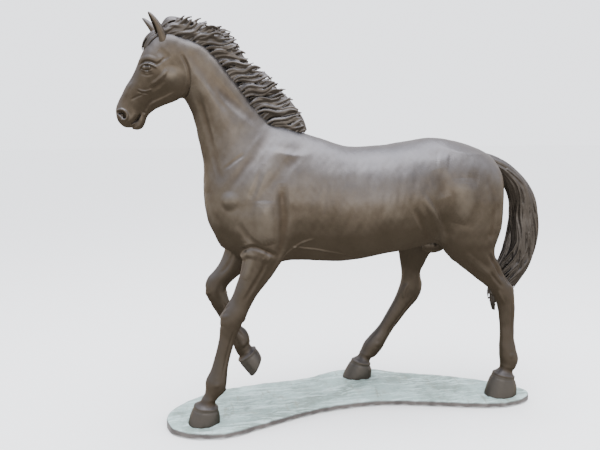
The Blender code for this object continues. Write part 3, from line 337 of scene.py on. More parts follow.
clay = Clay((-1.25, -0.40, PLATE_TOP - 0.06), (1.25, 0.40, 2.28), SKIN_VOXEL)
for rows, blend in (
    (TORSO, 0.001),
    (NECK, 0.080),
    (LEFT_FORE, 0.050),
    (RIGHT_FORE, 0.050),
    (LEFT_HIND, 0.060),
    (RIGHT_HIND, 0.060),
    (HEAD, 0.030),
    (JAW, 0.014),
):
    clay.add(*loft(rows), blend)
points, quads = clay.surface()
del clay


def mesh_of(name, points, faces):
    """A mesh of an array of points and an array of faces with the same number of corners."""
    mesh = bpy.data.meshes.new(name)
    mesh.vertices.add(len(points))
    mesh.vertices.foreach_set("co", np.ascontiguousarray(points, np.float32).ravel())
    corners = faces.shape[1]
    mesh.loops.add(faces.size)
    mesh.loops.foreach_set("vertex_index", np.ascontiguousarray(faces, np.int32).ravel())
    mesh.polygons.add(len(faces))
    mesh.polygons.foreach_set("loop_start", np.arange(0, faces.size, corners, dtype=np.int32))
    mesh.update(calc_edges=True)
    mesh.validate()
    return mesh


# The head is worked twice as fine as the rest.
FINE_BEHIND_X = -0.745
FINE_ABOVE_Z = PLATE_TOP + 1.590
form = mesh_of("form", points, quads)
bm = bmesh.new()
bm.from_mesh(form)
fine_edges = {
    edge
    for face in bm.faces
    if (middle := face.calc_center_median()).x < FINE_BEHIND_X and middle.z > FINE_ABOVE_Z
    for edge in face.edges
}
bmesh.ops.subdivide_edges(bm, edges=list(fine_edges), cuts=1, use_grid_fill=True)
bmesh.ops.triangulate(bm, faces=[face for face in bm.faces if len(face.verts) > 4])
bm.to_mesh(form)
bm.free()


def coordinates(mesh):
    found = np.empty(len(mesh.vertices) * 3, np.float32)
    mesh.vertices.foreach_get("co", found)
    return found.reshape(-1, 3).astype(float)


def vertex_normals(mesh):
    found = np.empty(len(mesh.vertices) * 3, np.float32)
    mesh.vertex_normals.foreach_get("vector", found)
    return found.reshape(-1, 3).astype(float)


def relax(mesh, times, strength=0.5):
    """Evens out a mesh by moving each point towards the mean of its neighbours."""
    ends = np.empty(len(mesh.edges) * 2, np.int32)
    mesh.edges.foreach_get("vertices", ends)
    a, b = ends[0::2], ends[1::2]
    points = coordinates(mesh)
    degree = np.bincount(ends, minlength=len(points))[:, None]
    for _ in range(times):
        total = np.stack(
            [
                np.bincount(a, points[b, axis], len(points)) + np.bincount(
                    b, points[a, axis], len(points)
                )
                for axis in range(3)
            ],
            axis=1,
        )
        points += strength * (total / degree - points)
    mesh.vertices.foreach_set("co", points.astype(np.float32).ravel())
    mesh.update()


relax(form, 4)

# What the modelling tool leaves: strokes that press a groove in or lay a ridge on, each
# with its path, its radius and its height. A path is given as x, z seen from the side.
BOTH = (-1, 1)
bm = bmesh.new()
bm.from_mesh(form)
tree = BVHTree.FromBMesh(bm)
bm.free()
points, normals = coordinates(form), vertex_normals(form)
push = np.zeros(len(points))


def densely(path, spacing):
    """Points a spacing apart, on a smooth curve through the path."""
    path = np.array(path, float)
    if len(path) == 1:
        return path
    padded = np.vstack([2 * path[0] - path[1], path, 2 * path[-1] - path[-2]])
    found = []
    for index in range(1, len(path)):
        p0, p1, p2, p3 = padded[index - 1 : index + 3]
        count = max(1, math.ceil(np.linalg.norm(p2 - p1) / spacing))
        t = np.linspace(0, 1, count, endpoint=False)[:, None]
        found.append(
            0.5
            * (
                2 * p1
                + (p2 - p0) * t
                + (2 * p0 - 5 * p1 + 4 * p2 - p3) * t**2
                + (3 * p1 - 3 * p2 + p3 - p0) * t**3
            )
        )
    found.append(path[-1:])
    return np.concatenate(found)


def on_side(path, side):
    """The path's points on one side of the skin, looking outwards from the middle plane."""
    found = []
    for x, z in densely(path, 0.012):
        start = Vector((x, 0.0, z + PLATE_TOP))
        hit = tree.ray_cast(start, Vector((0, side, 0)))[0]
        if hit:
            found.append(hit)
    return np.array(found)


def stroke(path, radius, height, fade=0.3, flat=0.0):
    """Adds one stroke. It fades out towards its ends; flat widens the middle of its profile."""
    if not len(path):
        return
    samples = densely(path, min(radius / 3, 0.008)) if len(path) > 1 else np.array(path, float)
    low, high = samples.min(0) - radius, samples.max(0) + radius
    near = np.where(((points > low) & (points < high)).all(axis=1))[0]
    best = np.full(len(near), np.inf)
    nearest = np.zeros(len(near), int)
    for index, sample in enumerate(samples):
        away = ((points[near] - sample) ** 2).sum(axis=1)
        closer = away < best
        best[closer], nearest[closer] = away[closer], index
    away = np.sqrt(best) / radius
    away = np.clip((away - flat) / (1 - flat), 0, 1)
    shape = (1 - away**2) ** 2
    if fade and len(samples) > 1:
        t = nearest / (len(samples) - 1)
        ends = np.clip(np.minimum(t, 1 - t) / fade, 0, 1)
        shape = shape * (0.15 + 0.85 * ends * (2 - ends))
    push[near] += height * shape


def on_body(path, radius, height, **profile):
    """The same stroke on both sides."""
    for side in BOTH:
        stroke(on_side(path, side), radius, height, **profile)


def raised(path):
    """A path whose heights are above the plate, in world heights."""
    return [(x, y, z + PLATE_TOP) for x, y, z in path]


def on_limb(rows, stops, radius, height, **profile):
    """A stroke along a leg; each stop is a place along its rows and a turn, out from its front."""
    placed = []
    outer = 1 if rows[0][4] > 0 else -1
    full = [list(row) + [0.5, 2.0, 2.0][len(row) - 6 :] for row in rows]
    for place, turn in stops:
        index = min(int(place), len(full) - 2)
        share = place - index
        row = [a + (b - a) * share for a, b in zip(full[index], full[index + 1])]
        row[1] += PLATE_TOP
        row[3] += PLATE_TOP
        spot = around_section(row, np.array([outer * math.radians(turn)]))[0]
        placed.append(tree.find_nearest(Vector(spot))[0])
    stroke(np.array(placed), radius, height, **profile)


# Neck: the groove under the mane, the groove behind the cheek, and the folds of the throat.
on_body(
    [
        (-0.805, 2.020), (-0.754, 1.963), (-0.709, 1.897), (-0.651, 1.833), (-0.591, 1.780),
        (-0.532, 1.722), (-0.428, 1.640),
    ],
    0.044,
    -0.0065,
)
on_body(
    [(-0.805, 2.02), (-0.725, 2.03), (-0.66, 1.955), (-0.60, 1.88), (-0.53, 1.80), (-0.46, 1.72)],
    0.050,
    0.006,
)
on_body([(-0.820, 1.995), (-0.792, 1.925), (-0.787, 1.850), (-0.802, 1.790)], 0.015, -0.0065)
on_body([(-0.789, 1.830), (-0.800, 1.795), (-0.830, 1.772), (-0.862, 1.762)], 0.013, -0.0075)
on_body([(-0.693, 1.861), (-0.664, 1.802), (-0.629, 1.750), (-0.600, 1.70)], 0.024, -0.0040)
on_body([(-0.735, 1.80), (-0.712, 1.70), (-0.690, 1.601), (-0.665, 1.50)], 0.020, -0.0035)
on_body([(-0.70, 1.76), (-0.680, 1.66), (-0.655, 1.55)], 0.018, -0.0025)
on_body([(-0.760, 1.90), (-0.665, 1.74), (-0.575, 1.58), (-0.515, 1.44)], 0.070, 0.0025)
on_body([(-0.762, 1.83), (-0.712, 1.66), (-0.668, 1.47), (-0.640, 1.33)], 0.030, -0.0060)
# Shoulder: blade, point of the shoulder, creases and the edge of the upper arm.
on_body([(-0.245, 1.565), (-0.345, 1.46), (-0.455, 1.34), (-0.570, 1.21)], 0.070, 0.009)
on_body([(-0.350, 1.60), (-0.455, 1.48), (-0.560, 1.36), (-0.630, 1.26)], 0.040, -0.0060)
on_body([(-0.190, 1.50), (-0.300, 1.40), (-0.395, 1.28)], 0.045, -0.0050)
on_body([(-0.514, 1.479), (-0.567, 1.443), (-0.620, 1.402)], 0.016, -0.0042)
on_body([(-0.412, 1.427), (-0.450, 1.338), (-0.493, 1.244)], 0.026, -0.0050)
on_body([(-0.600, 1.235)], 0.060, 0.012)
on_body([(-0.425, 1.24), (-0.425, 1.08), (-0.41, 1.00)], 0.075, 0.014)
on_body([(-0.330, 1.330), (-0.322, 1.165), (-0.325, 1.031), (-0.345, 0.913)], 0.042, -0.0120)
on_body([(-0.560, 1.12), (-0.505, 1.04), (-0.44, 0.985)], 0.026, -0.0045)
on_body([(-0.542, 0.963), (-0.494, 0.990), (-0.429, 0.975), (-0.360, 0.940)], 0.020, -0.0120)
on_body([(-0.535, 0.915), (-0.500, 0.950), (-0.455, 0.940)], 0.030, 0.0085)
on_body([(-0.430, 0.935), (-0.395, 0.915)], 0.030, 0.0060)
stroke(
    raised([(-0.70, 0, 1.30), (-0.685, 0, 1.18), (-0.655, 0, 1.06), (-0.60, 0, 0.96)]),
    0.040,
    -0.016,
)
for side in BOTH:
    stroke(
        raised(
            [(-0.69, side * 0.075, 1.27), (-0.67, side * 0.085, 1.13), (-0.62, side * 0.09, 1.01)]
        ),
        0.070,
        0.014,
    )
# Barrel: ribs, the veins of the belly, the flank and the fold of the stifle.
for rib in range(7):
    x = -0.12 + 0.082 * rib
    on_body([(x + 0.055, 1.43), (x + 0.035, 1.30), (x, 1.16), (x - 0.045, 1.04)], 0.026, -0.0015)
on_body([(-0.328, 0.908), (-0.268, 0.965), (-0.208, 1.001), (-0.15, 1.02)], 0.0110, 0.0070)
on_body(
    [(-0.279, 0.982), (-0.202, 0.968), (-0.125, 0.959), (-0.002, 0.932), (0.10, 0.90)],
    0.0110,
    0.0070,
)
on_body([(0.545, 1.390), (0.566, 1.318), (0.585, 1.235)], 0.070, -0.0060)
on_body([(0.45, 1.24), (0.53, 1.13), (0.60, 1.03), (0.63, 0.95)], 0.030, 0.008)
on_body([(0.40, 1.18), (0.47, 1.07), (0.54, 0.97)], 0.030, -0.007)
# Quarters: point of the hip, stifle, thigh and the groove behind it.
on_body([(0.560, 1.440), (0.625, 1.425)], 0.085, 0.0045)
on_body([(0.720, 1.345), (0.790, 1.325)], 0.080, -0.0035)
on_body([(0.70, 1.34), (0.702, 1.20), (0.68, 1.08)], 0.095, 0.009)
on_body([(0.850, 1.36), (0.885, 1.20), (0.885, 1.05), (0.865, 0.93)], 0.034, -0.0055)
on_body([(0.93, 1.34), (0.945, 1.20), (0.93, 1.06)], 0.045, 0.006)
on_body([(0.60, 0.995)], 0.065, 0.010)
on_body([(0.837, 0.824), (0.892, 0.857), (0.948, 0.890)], 0.024, -0.0060)
on_body([(0.860, 0.800), (0.920, 0.835)], 0.036, 0.0060)
on_body([(0.700, 0.862), (0.730, 0.850)], 0.040, 0.0060)
stroke(
    raised([(0.10, 0, 1.52), (0.30, 0, 1.515), (0.50, 0, 1.54), (0.70, 0, 1.55), (0.85, 0, 1.515)]),
    0.026,
    -0.004,
)

# Legs. The right ones have a row fewer, so one is put in to make the rows of a pair match.
def with_row_after(rows, index):
    middle = tuple((a + b) / 2 for a, b in zip(rows[index][:6], rows[index + 1][:6]))
    return rows[: index + 1] + [middle] + rows[index + 1 :]


fore_legs = (LEFT_FORE, with_row_after(RIGHT_FORE, 5))
hind_legs = (LEFT_HIND, with_row_after(RIGHT_HIND, 6))
for leg in fore_legs:
    on_limb(leg, [(3.2, 40), (4.5, 45), (6.0, 50)], 0.034, 0.010)
    on_limb(leg, [(3.4, 92), (4.8, 95), (6.6, 95), (7.6, 95)], 0.018, -0.007)
    on_limb(leg, [(3.4, 140), (4.8, 140), (6.4, 140)], 0.030, 0.007)
    on_limb(leg, [(4.0, -60), (5.5, -60), (7.0, -60)], 0.018, -0.005)
    on_limb(leg, [(8.4, 30), (9.2, 0), (8.4, -30)], 0.014, -0.0035)
    on_limb(leg, [(9.4, 60), (9.8, 15), (9.8, -15), (9.4, -60)], 0.018, 0.0045)
    on_limb(leg, [(10.6, 45), (10.9, 0), (10.6, -45)], 0.012, -0.0035)
    on_limb(leg, [(9.3, 165), (9.9, 175)], 0.018, 0.005)
    for turn in (112, -112):
        on_limb(leg, [(11.0, turn), (12.5, turn), (14.0, turn), (15.2, turn)], 0.0095, -0.0050)
        beside = turn + math.copysign(34, turn)
        on_limb(leg, [(11.4, beside), (14.6, beside)], 0.010, 0.0022)
    on_limb(leg, [(16.0, 90)], 0.024, 0.003)
    on_limb(leg, [(16.0, -90)], 0.024, 0.003)
    on_limb(leg, [(16.8, 180)], 0.016, 0.006)
for leg in hind_legs:
    on_limb(leg, [(5.0, 60), (6.5, 70), (8.0, 80)], 0.034, 0.008)
    on_limb(leg, [(5.4, 120), (7.0, 125), (8.6, 125)], 0.022, -0.009)
    on_limb(leg, [(7.4, 90), (8.6, 90), (9.6, 90)], 0.014, -0.005)
    on_limb(leg, [(8.4, 150), (9.4, 150)], 0.020, -0.008)
    on_limb(leg, [(8.4, -150), (9.4, -150)], 0.020, -0.008)
    on_limb(leg, [(10.0, 60), (10.8, 55), (11.8, 60)], 0.014, 0.0045)
    on_limb(leg, [(10.0, -60), (10.8, -50), (11.8, -60)], 0.016, 0.0050)
    on_limb(leg, [(9.8, 175), (10.6, 180)], 0.022, 0.005)
    for turn in (112, -112):
        on_limb(leg, [(11.6, turn), (13.2, turn), (15.2, turn)], 0.0095, -0.0050)
        beside = turn + math.copysign(34, turn)
        on_limb(leg, [(12.0, beside), (14.6, beside)], 0.010, 0.0022)
    on_limb(leg, [(16.6, 90)], 0.024, 0.003)
    on_limb(leg, [(16.6, -90)], 0.024, 0.003)
    on_limb(leg, [(17.3, 180)], 0.016, 0.006)
HOOF_ROWS = {0: 19.6, 1: 18.6, 2: 19.6, 3: 19.6}
all_legs = (*fore_legs, *hind_legs)
for index, leg in enumerate(all_legs):
    row = HOOF_ROWS[index]
    ring = [(row, turn) for turn in range(-180, 181, 30)]
    on_limb(leg, [(place - 0.75, turn) for place, turn in ring], 0.026, -0.0050, fade=0)
    on_limb(leg, [(place + 0.20, turn) for place, turn in ring], 0.011, 0.0050, fade=0)
    on_limb(leg, [(place + 0.62, turn) for place, turn in ring], 0.008, -0.0025, fade=0)

# Head: brow, lids and eye, the ridge of the cheek, folds, nostril, lips and jaw.
on_body([(-1.010, 1.922), (-0.988, 1.922)], 0.034, -0.0085)
on_body([(-1.012, 1.921), (-0.988, 1.922)], 0.0145, 0.0105, fade=0, flat=0.2)
on_body(
    [
        (-1.034, 1.917), (-1.022, 1.932), (-1.004, 1.940), (-0.982, 1.939), (-0.962, 1.930),
        (-0.952, 1.922),
    ],
    0.0085,
    0.0100,
)
on_body([(-1.028, 1.912), (-1.012, 1.905), (-0.992, 1.904), (-0.972, 1.911)], 0.0070, 0.0045)
on_body([(-1.036, 1.936), (-1.010, 1.953), (-0.980, 1.953), (-0.950, 1.940)], 0.0080, -0.0045)
on_body(
    [(-1.042, 1.948), (-1.020, 1.966), (-0.985, 1.970), (-0.950, 1.960), (-0.925, 1.970)],
    0.0200,
    0.0030,
)
on_body([(-0.955, 1.932), (-0.930, 1.950), (-0.905, 1.975)], 0.0110, -0.0035)
on_body([(-1.030, 1.893), (-1.000, 1.884), (-0.965, 1.892)], 0.0100, -0.0022)
on_body([(-0.900, 1.915), (-0.922, 1.882), (-0.950, 1.855), (-0.980, 1.835)], 0.0160, 0.0060)
on_body([(-0.915, 1.865), (-0.945, 1.835), (-0.985, 1.810)], 0.0220, -0.0040)
on_body([(-1.050, 1.816), (-1.034, 1.807), (-1.008, 1.804), (-0.980, 1.813)], 0.0075, 0.0035)
on_body([(-1.050, 1.805), (-1.030, 1.796), (-1.000, 1.793)], 0.0080, -0.0030)
on_body([(-1.020, 1.790), (-1.054, 1.777), (-1.086, 1.760)], 0.0085, -0.0030)
on_body([(-1.080, 1.850), (-1.105, 1.800), (-1.125, 1.755)], 0.0150, 0.0040)
on_body([(-0.940, 2.010), (-0.912, 1.990), (-0.892, 1.965)], 0.0300, -0.0045)
on_body([(-0.872, 1.865)], 0.075, 0.0100)
on_body([(-0.958, 1.772), (-0.998, 1.738), (-1.026, 1.690)], 0.0130, -0.0032)
on_body([(-0.860, 1.800), (-0.905, 1.775), (-0.955, 1.752), (-1.000, 1.728)], 0.0130, 0.0035)
on_body(
    [
        (-1.158, 1.704), (-1.138, 1.711), (-1.116, 1.700), (-1.108, 1.678), (-1.118, 1.660),
        (-1.134, 1.658),
    ],
    0.0110,
    0.0055,
    fade=0,
)
on_body(
    [(-1.155, 1.696), (-1.139, 1.697), (-1.126, 1.687), (-1.124, 1.672)], 0.0120, -0.0170, fade=0
)
on_body([(-1.150, 1.690), (-1.138, 1.678)], 0.0100, -0.0090, fade=0)
on_body(
    [(-1.040, 1.690), (-1.052, 1.670), (-1.070, 1.648), (-1.096, 1.624)], 0.0080, -0.0130, fade=0.15
)
on_body([(-1.066, 1.694), (-1.082, 1.668), (-1.104, 1.645)], 0.0150, 0.0020)
on_body([(-1.028, 1.702), (-1.016, 1.690)], 0.0100, -0.0040)
for side in BOTH:
    stroke(
        raised(
            [
                (-1.000, side * 0.030, 2.040), (-1.045, side * 0.034, 1.940),
                (-1.095, side * 0.030, 1.840), (-1.135, side * 0.025, 1.76),
            ]
        ),
        0.022,
        0.0035,
    )

# The unevenness that a hand leaves in clay: long waves, a millimetre or so high.
seed = np.random.default_rng(7)
for wavelength, swell in ((0.18, 0.0014), (0.080, 0.0005), (0.036, 0.00022)):
    for _ in range(7):
        heading = seed.normal(size=3)
        heading /= np.linalg.norm(heading)
        phase = seed.uniform(0, 2 * math.pi)
        push += swell / 2.6 * np.sin(points @ heading * 2 * math.pi / wavelength + phase)

points += normals * push[:, None]
form.vertices.foreach_set("co", points.astype(np.float32).ravel())
form.update()
relax(form, 1, 0.35)
RELIEF_SCALE = 0.010
relief = form.attributes.new("relief", "FLOAT", "POINT")
relief.data.foreach_set("value", np.clip(push / RELIEF_SCALE, -1, 1).astype(np.float32))
horn = np.zeros(len(points))
for index, leg in enumerate(all_legs):
    top, sole = leg[int(HOOF_ROWS[index]) + 1], leg[-1]
    top = np.array([(top[0] + top[2]) / 2, top[4], (top[1] + top[3]) / 2 + PLATE_TOP])
    sole = np.array([(sole[0] + sole[2]) / 2, sole[4], (sole[1] + sole[3]) / 2 + PLATE_TOP])
    axis = (sole - top) / np.linalg.norm(sole - top)
    below = (points - top) @ axis
    near = np.linalg.norm(points - top, axis=1) < 0.20
    horn = np.maximum(horn, near * np.clip(below / 0.012 + 0.8, 0, 1))
horn_data = form.attributes.new("horn", "FLOAT", "POINT")
horn_data.data.foreach_set("value", horn.astype(np.float32))
flow = form.attributes.new("flow", "FLOAT_VECTOR", "POINT")
flow.data.foreach_set("vector", vertex_normals(form).astype(np.float32).ravel())

# Weld seams: the seam's two ends seen from the side, and the span of y that it crosses.
SEAMS = [
    ((-0.785, 1.690), (-0.758, 2.150), -0.30, 0.30),
    ((-0.800, 1.290), (-0.285, 1.665), -0.45, 0.45),
    ((-0.130, 0.780), (-0.130, 1.700), -0.45, 0.45),
    ((0.455, 0.850), (0.455, 1.650), -0.45, 0.45),
    ((-0.620, 0.855), (-0.320, 0.783), -0.30, -0.02),
    ((-0.730, 0.385), (-0.560, 0.365), -0.30, -0.02),
    ((-0.690, 0.870), (-0.420, 0.780), 0.02, 0.30),
    ((-0.680, 0.520), (-0.520, 0.575), 0.02, 0.30),
    ((0.650, 0.840), (1.040, 0.862), -0.30, -0.02),
    ((0.960, 0.440), (1.170, 0.440), -0.30, -0.02),
    ((0.430, 0.822), (0.780, 0.830), 0.02, 0.36),
    ((0.360, 0.435), (0.590, 0.345), 0.02, 0.36),
]
# A point near the middle of each casting.
CASTINGS = {
    "head": (-0.980, 0.0, 1.880),
    "neck": (-0.620, 0.0, 1.640),
    "chest": (-0.400, 0.0, 1.200),
    "barrel": (0.170, 0.0, 1.200),
    "hindquarters": (0.750, 0.0, 1.180),
    "left_fore_upper": (-0.560, -0.165, 0.610),
    "left_fore_lower": (-0.720, -0.165, 0.150),
    "right_fore_upper": (-0.620, 0.150, 0.690),
    "right_fore_lower": (-0.510, 0.150, 0.350),
    "left_hind_upper": (0.960, -0.165, 0.660),
    "left_hind_lower": (1.070, -0.165, 0.180),
    "right_hind_upper": (0.580, 0.205, 0.600),
    "right_hind_lower": (0.320, 0.225, 0.180),
}
bm = bmesh.new()
bm.from_mesh(form)
for front, back, low_y, high_y in SEAMS:
    start = Vector((front[0], 0, front[1] + PLATE_TOP))
    along = Vector((back[0] - front[0], 0, back[1] - front[1]))
    lift = along.cross(Vector((0, 1, 0))).normalized()
    crossed = set()
    for face in bm.faces:
        offsets = [(vertex.co - start).dot(lift) for vertex in face.verts]
        if min(offsets) > 0.004 or max(offsets) < -0.004:
            continue
        middle = face.calc_center_median()
        share = (middle - start).dot(along) / along.length_squared
        if 0 < share < 1 and low_y < middle.y < high_y:
            crossed.add(face)
    touched = list(crossed) + list({e for f in crossed for e in f.edges}) + list(
        {v for f in crossed for v in f.verts}
    )
    cut = bmesh.ops.bisect_plane(bm, geom=touched, plane_co=start, plane_no=lift, dist=1e-6)[
        "geom_cut"
    ]
    bmesh.ops.split_edges(bm, edges=[part for part in cut if isinstance(part, bmesh.types.BMEdge)])
bm.verts.ensure_lookup_table()
bm.verts.index_update()
unseen = set(bm.verts)
SMALLEST_CASTING = 200  # vertices; anything smaller is dropped
bodies = []
for vertex in bm.verts:
    if vertex not in unseen:
        continue
    unseen.discard(vertex)
    reached = [vertex]
    for corner in reached:
        for edge in corner.link_edges:
            other = edge.other_vert(corner)
            if other in unseen:
                unseen.discard(other)
                reached.append(other)
    bodies.append(reached)
bodies = [body for body in bodies if len(body) > SMALLEST_CASTING]
if len(bodies) != len(CASTINGS):
    raise ValueError(
        f"the skin falls into {len(bodies)} castings: {[len(body) for body in bodies]}"
    )

label = np.full(len(bm.verts), -1)
for name_index, (name, spot) in enumerate(CASTINGS.items()):
    spot = Vector(spot) + Vector((0, 0, PLATE_TOP))
    nearest = min(
        bodies, key=lambda body: (sum((v.co for v in body), Vector()) / len(body) - spot).length
    )
    label[[vertex.index for vertex in nearest]] = name_index
faces_of = [[] for _ in CASTINGS]
for face in bm.faces:
    corners = [vertex.index for vertex in face.verts]
    if label[corners[0]] >= 0:
        faces_of[label[corners[0]]].append(corners)
bm.to_mesh(form)
bm.free()


def values_of(mesh, name, width):
    found = np.empty(len(mesh.vertices) * width, np.float32)
    mesh.attributes[name].data.foreach_get("vector" if width == 3 else "value", found)
    return found.reshape(-1, width)


def caps_of(faces):
    """The faces that close a casting where its seams cut it."""
    after = {}
    sides = {(a, b) for face in faces for a, b in zip(face, face[1:] + face[:1])}
    for a, b in sides:
        if (b, a) not in sides:
            after[b] = a
    caps = []
    while after:
        start, step = after.popitem()
        cap = [start]
        while step != start and step in after:
            cap.append(step)
            step = after.pop(step)
        caps.append(cap)
    return [cap for cap in caps if len(cap) > 2]


class Wire:
    """A socket of a shader, which Python's operators add Math nodes to."""

    def __init__(self, tree, socket=None):
        self.tree, self.socket = tree, socket

    def node(self, kind, settings=None, inputs=None, output=0):
        made = self.tree.nodes.new(kind)
        for name, value in (settings or {}).items():
            if name == "stops":
                ramp = made.color_ramp.elements
                for position, color in value[1:-1]:
                    ramp.new(position).color = (*color, 1)
                ramp[0].position, ramp[0].color = value[0][0], (*value[0][1], 1)
                ramp[-1].position, ramp[-1].color = value[-1][0], (*value[-1][1], 1)
            else:
                setattr(made, name, value)
        for name, value in (inputs or {}).items():
            if isinstance(value, Wire):
                self.tree.links.new(value.socket, made.inputs[name])
            else:
                made.inputs[name].default_value = value
        return Wire(self.tree, made.outputs[output] if made.outputs else None)

    def math(self, operation, *others):
        inputs = dict(enumerate((self, *others)))
        return self.node("ShaderNodeMath", {"operation": operation}, inputs)

    def reflected(self, operation, other):
        return self.node("ShaderNodeMath", {"operation": operation}, {0: other, 1: self})

    def __add__(self, other):
        return self.math("ADD", other)

    def __radd__(self, other):
        return self.reflected("ADD", other)

    def __sub__(self, other):
        return self.math("SUBTRACT", other)

    def __rsub__(self, other):
        return self.reflected("SUBTRACT", other)

    def __mul__(self, other):
        return self.math("MULTIPLY", other)

    def __rmul__(self, other):
        return self.reflected("MULTIPLY", other)

    def __neg__(self):
        return self.math("MULTIPLY", -1.0)

    def between(self, low, high):
        """0 below low and 1 above high, eased."""
        settings = {"interpolation_type": "SMOOTHSTEP"}
        return self.node(
            "ShaderNodeMapRange", settings, {"Value": self, "From Min": low, "From Max": high}
        )

    def noise(self, scale, detail=4.0, rough=0.55, stretch=(1, 1, 1)):
        placed = self.node("ShaderNodeMapping", None, {"Vector": self, "Scale": stretch})
        return placed.node(
            "ShaderNodeTexNoise",
            None,
            {"Vector": placed, "Scale": scale, "Detail": detail, "Roughness": rough},
        )

    def mixed(self, first, second, blend="MIX"):
        """The first colour where this is 0 and the second where it is 1."""
        settings = {"data_type": "RGBA", "blend_type": blend}
        first = first if isinstance(first, Wire) else (*first, 1)
        second = second if isinstance(second, Wire) else (*second, 1)
        return self.node("ShaderNodeMix", settings, {0: self, 6: first, 7: second}, output=2)


def new_material(name):
    """A material with no nodes but its output."""
    material = bpy.data.materials.new(name)
    material.use_nodes = True
    material.node_tree.nodes.clear()
    return material, Wire(material.node_tree)


def finish_material(start, shader):
    start.node("ShaderNodeOutputMaterial", None, {"Surface": shader})


def bronze(name, shadow, middle, light, sheen, bump):
    """Waxed brown bronze: patina and painted shade in its hollows, painted shade in its creases,
    underneath and low down, wear and painted highlight on its ridges, dust and painted sky
    reflection where it faces up.
    """
    material, start = new_material(name)
    place = start.node("ShaderNodeTexCoord", output=3)
    cloud = place.noise(2.6, 5.0, 0.6)
    mottle = place.noise(11.0, 6.0, 0.62)
    fine = place.noise(85.0, 4.0, 0.6)
    runs = place.noise(16.0, 4.0, 0.6, (1, 1, 0.16))
    relief = start.node("ShaderNodeAttribute", {"attribute_name": "relief"}, output=2)
    horn = start.node("ShaderNodeAttribute", {"attribute_name": "horn"}, output=2)
    edge = start.node("ShaderNodeNewGeometry", output=7)
    crease = 1 - edge.between(0.38, 0.495)
    ridge = edge.between(0.52, 0.62)
    hollow = (-relief).between(0.10, 1.0) * 0.62
    facing = start.node("ShaderNodeNewGeometry", output=1)
    up = facing.node("ShaderNodeSeparateXYZ", None, {0: facing}, output=2)
    high = place.node("ShaderNodeSeparateXYZ", None, {0: place}, output=2)
    tone = cloud * 0.55 + mottle * 0.45
    color = tone.node(
        "ShaderNodeValToRGB", {"stops": [(0.36, shadow), (0.50, middle), (0.66, light)]}, {0: tone}
    )
    shade = tuple(0.55 * channel for channel in shadow)
    # Painted shade: darker towards the bottom; higher up the painted sky reflection is stronger.
    height_lit = high.between(0.45, 1.55)
    color = height_lit.mixed(tuple(0.62 * channel for channel in middle), color)
    # Dust and a painted sky reflection, lavender grey, on surfaces that face up.
    bloom_and_sky_reflection = (up + 0.16 * cloud).between(0.0, 1.12) * (0.82 + 0.18 * mottle) * sheen * (
        0.45 + 0.55 * height_lit
    )
    color = bloom_and_sky_reflection.mixed(color, (0.134, 0.136, 0.154))
    # Patina and painted shade in the sculpted hollows.
    color = (hollow * 0.8).mixed(color, (0.030, 0.019, 0.010))
    # Painted shade, near black, in creases where the surface curves in.
    color = (crease * 0.70).mixed(color, (0.010, 0.0075, 0.0055))
    # Wear and painted highlight on ridges and raised strokes.
    color = (ridge * 0.40 + relief.between(0.30, 1.0) * 0.20).mixed(color, (0.135, 0.115, 0.090))
    color = (runs.between(0.58, 0.72) * 0.14).mixed(color, (0.045, 0.034, 0.025))
    # Painted shade on surfaces that face down.
    under = (0.08 - up).between(0.0, 0.45)
    color = (under * 0.80).mixed(color, shade)
    color = (horn * 0.50).mixed(color, (0.060, 0.055, 0.048))
    rough = 0.36 + 0.08 * mottle + 0.06 * fine + 0.10 * crease + 0.06 * bloom_and_sky_reflection + 0.30 * under
    rings = high.math("MULTIPLY", 620.0).math("SINE") * horn
    height = 0.22 * mottle + 0.30 * fine + 0.04 * rings + 0.08 * runs
    bumped = height.node(
        "ShaderNodeBump", None, {"Height": height, "Strength": bump, "Distance": 0.003}
    )
    shader = start.node(
        "ShaderNodeBsdfPrincipled",
        None,
        {
            "Base Color": color,
            "Roughness": rough,
            "Metallic": 0.92 * (1 - under),
            "Specular IOR Level": 0.0,
            "Specular Tint": (0.62, 0.56, 0.50, 1),
            "Coat Weight": 0.06 * (1 - under),
            "Coat Roughness": 0.22,
            "Normal": bumped,
        },
    )
    finish_material(start, shader)
    return material


skin_bronze = bronze(
    "skin_bronze", (0.037, 0.028, 0.0185), (0.061, 0.047, 0.0325), (0.088, 0.071, 0.052), 0.80, 0.25
)


def show(name, mesh, material, slot, *nodes):
    """Puts a finished mesh in the scene as one piece of the statue."""
    mesh.materials.clear()
    mesh.materials.append(material)
    piece = bpy.data.objects.new(name, mesh)
    bpy.context.scene.collection.objects.link(piece)
    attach(piece, "root")
    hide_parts(*nodes)
    return piece


whole, flows = coordinates(form), values_of(form, "flow", 3)
reliefs, horns = values_of(form, "relief", 1), values_of(form, "horn", 1)
for name, faces in zip(CASTINGS, faces_of):
    faces = faces + caps_of(faces)
    used = np.unique(np.concatenate([np.array(face) for face in faces]))
    number = np.full(len(whole), -1)
    number[used] = np.arange(len(used))
    mesh = bpy.data.meshes.new(name)
    mesh.from_pydata(whole[used].tolist(), [], [number[face].tolist() for face in faces])
    for key, values in (("relief", reliefs), ("horn", horns)):
        layer = mesh.attributes.new(key, "FLOAT", "POINT")
        layer.data.foreach_set("value", np.ascontiguousarray(values[used]).ravel())
    mesh.shade_smooth()
    mesh.normals_split_custom_set_from_vertices(flows[used].tolist())
    show("bronze_" + name, mesh, skin_bronze, "skin_bronze", name)

# ---- Sheath ------------------------------------------------------------------------------
# A small solid bronze casting, welded under the belly and chased in.
SHEATH = [
    (0.575, 0.960, 0.575, 0.890, 0.000, 0.020),
    (0.610, 0.965, 0.605, 0.872, 0.000, 0.036),
    (0.665, 0.970, 0.660, 0.866, 0.000, 0.040),
    (0.705, 0.970, 0.712, 0.885, 0.000, 0.034),
    (0.722, 0.955, 0.728, 0.915, 0.000, 0.018),
]


def smooth_mesh(name, points, faces):
    mesh = mesh_of(name, points, faces)
    mesh.shade_smooth()
    return mesh


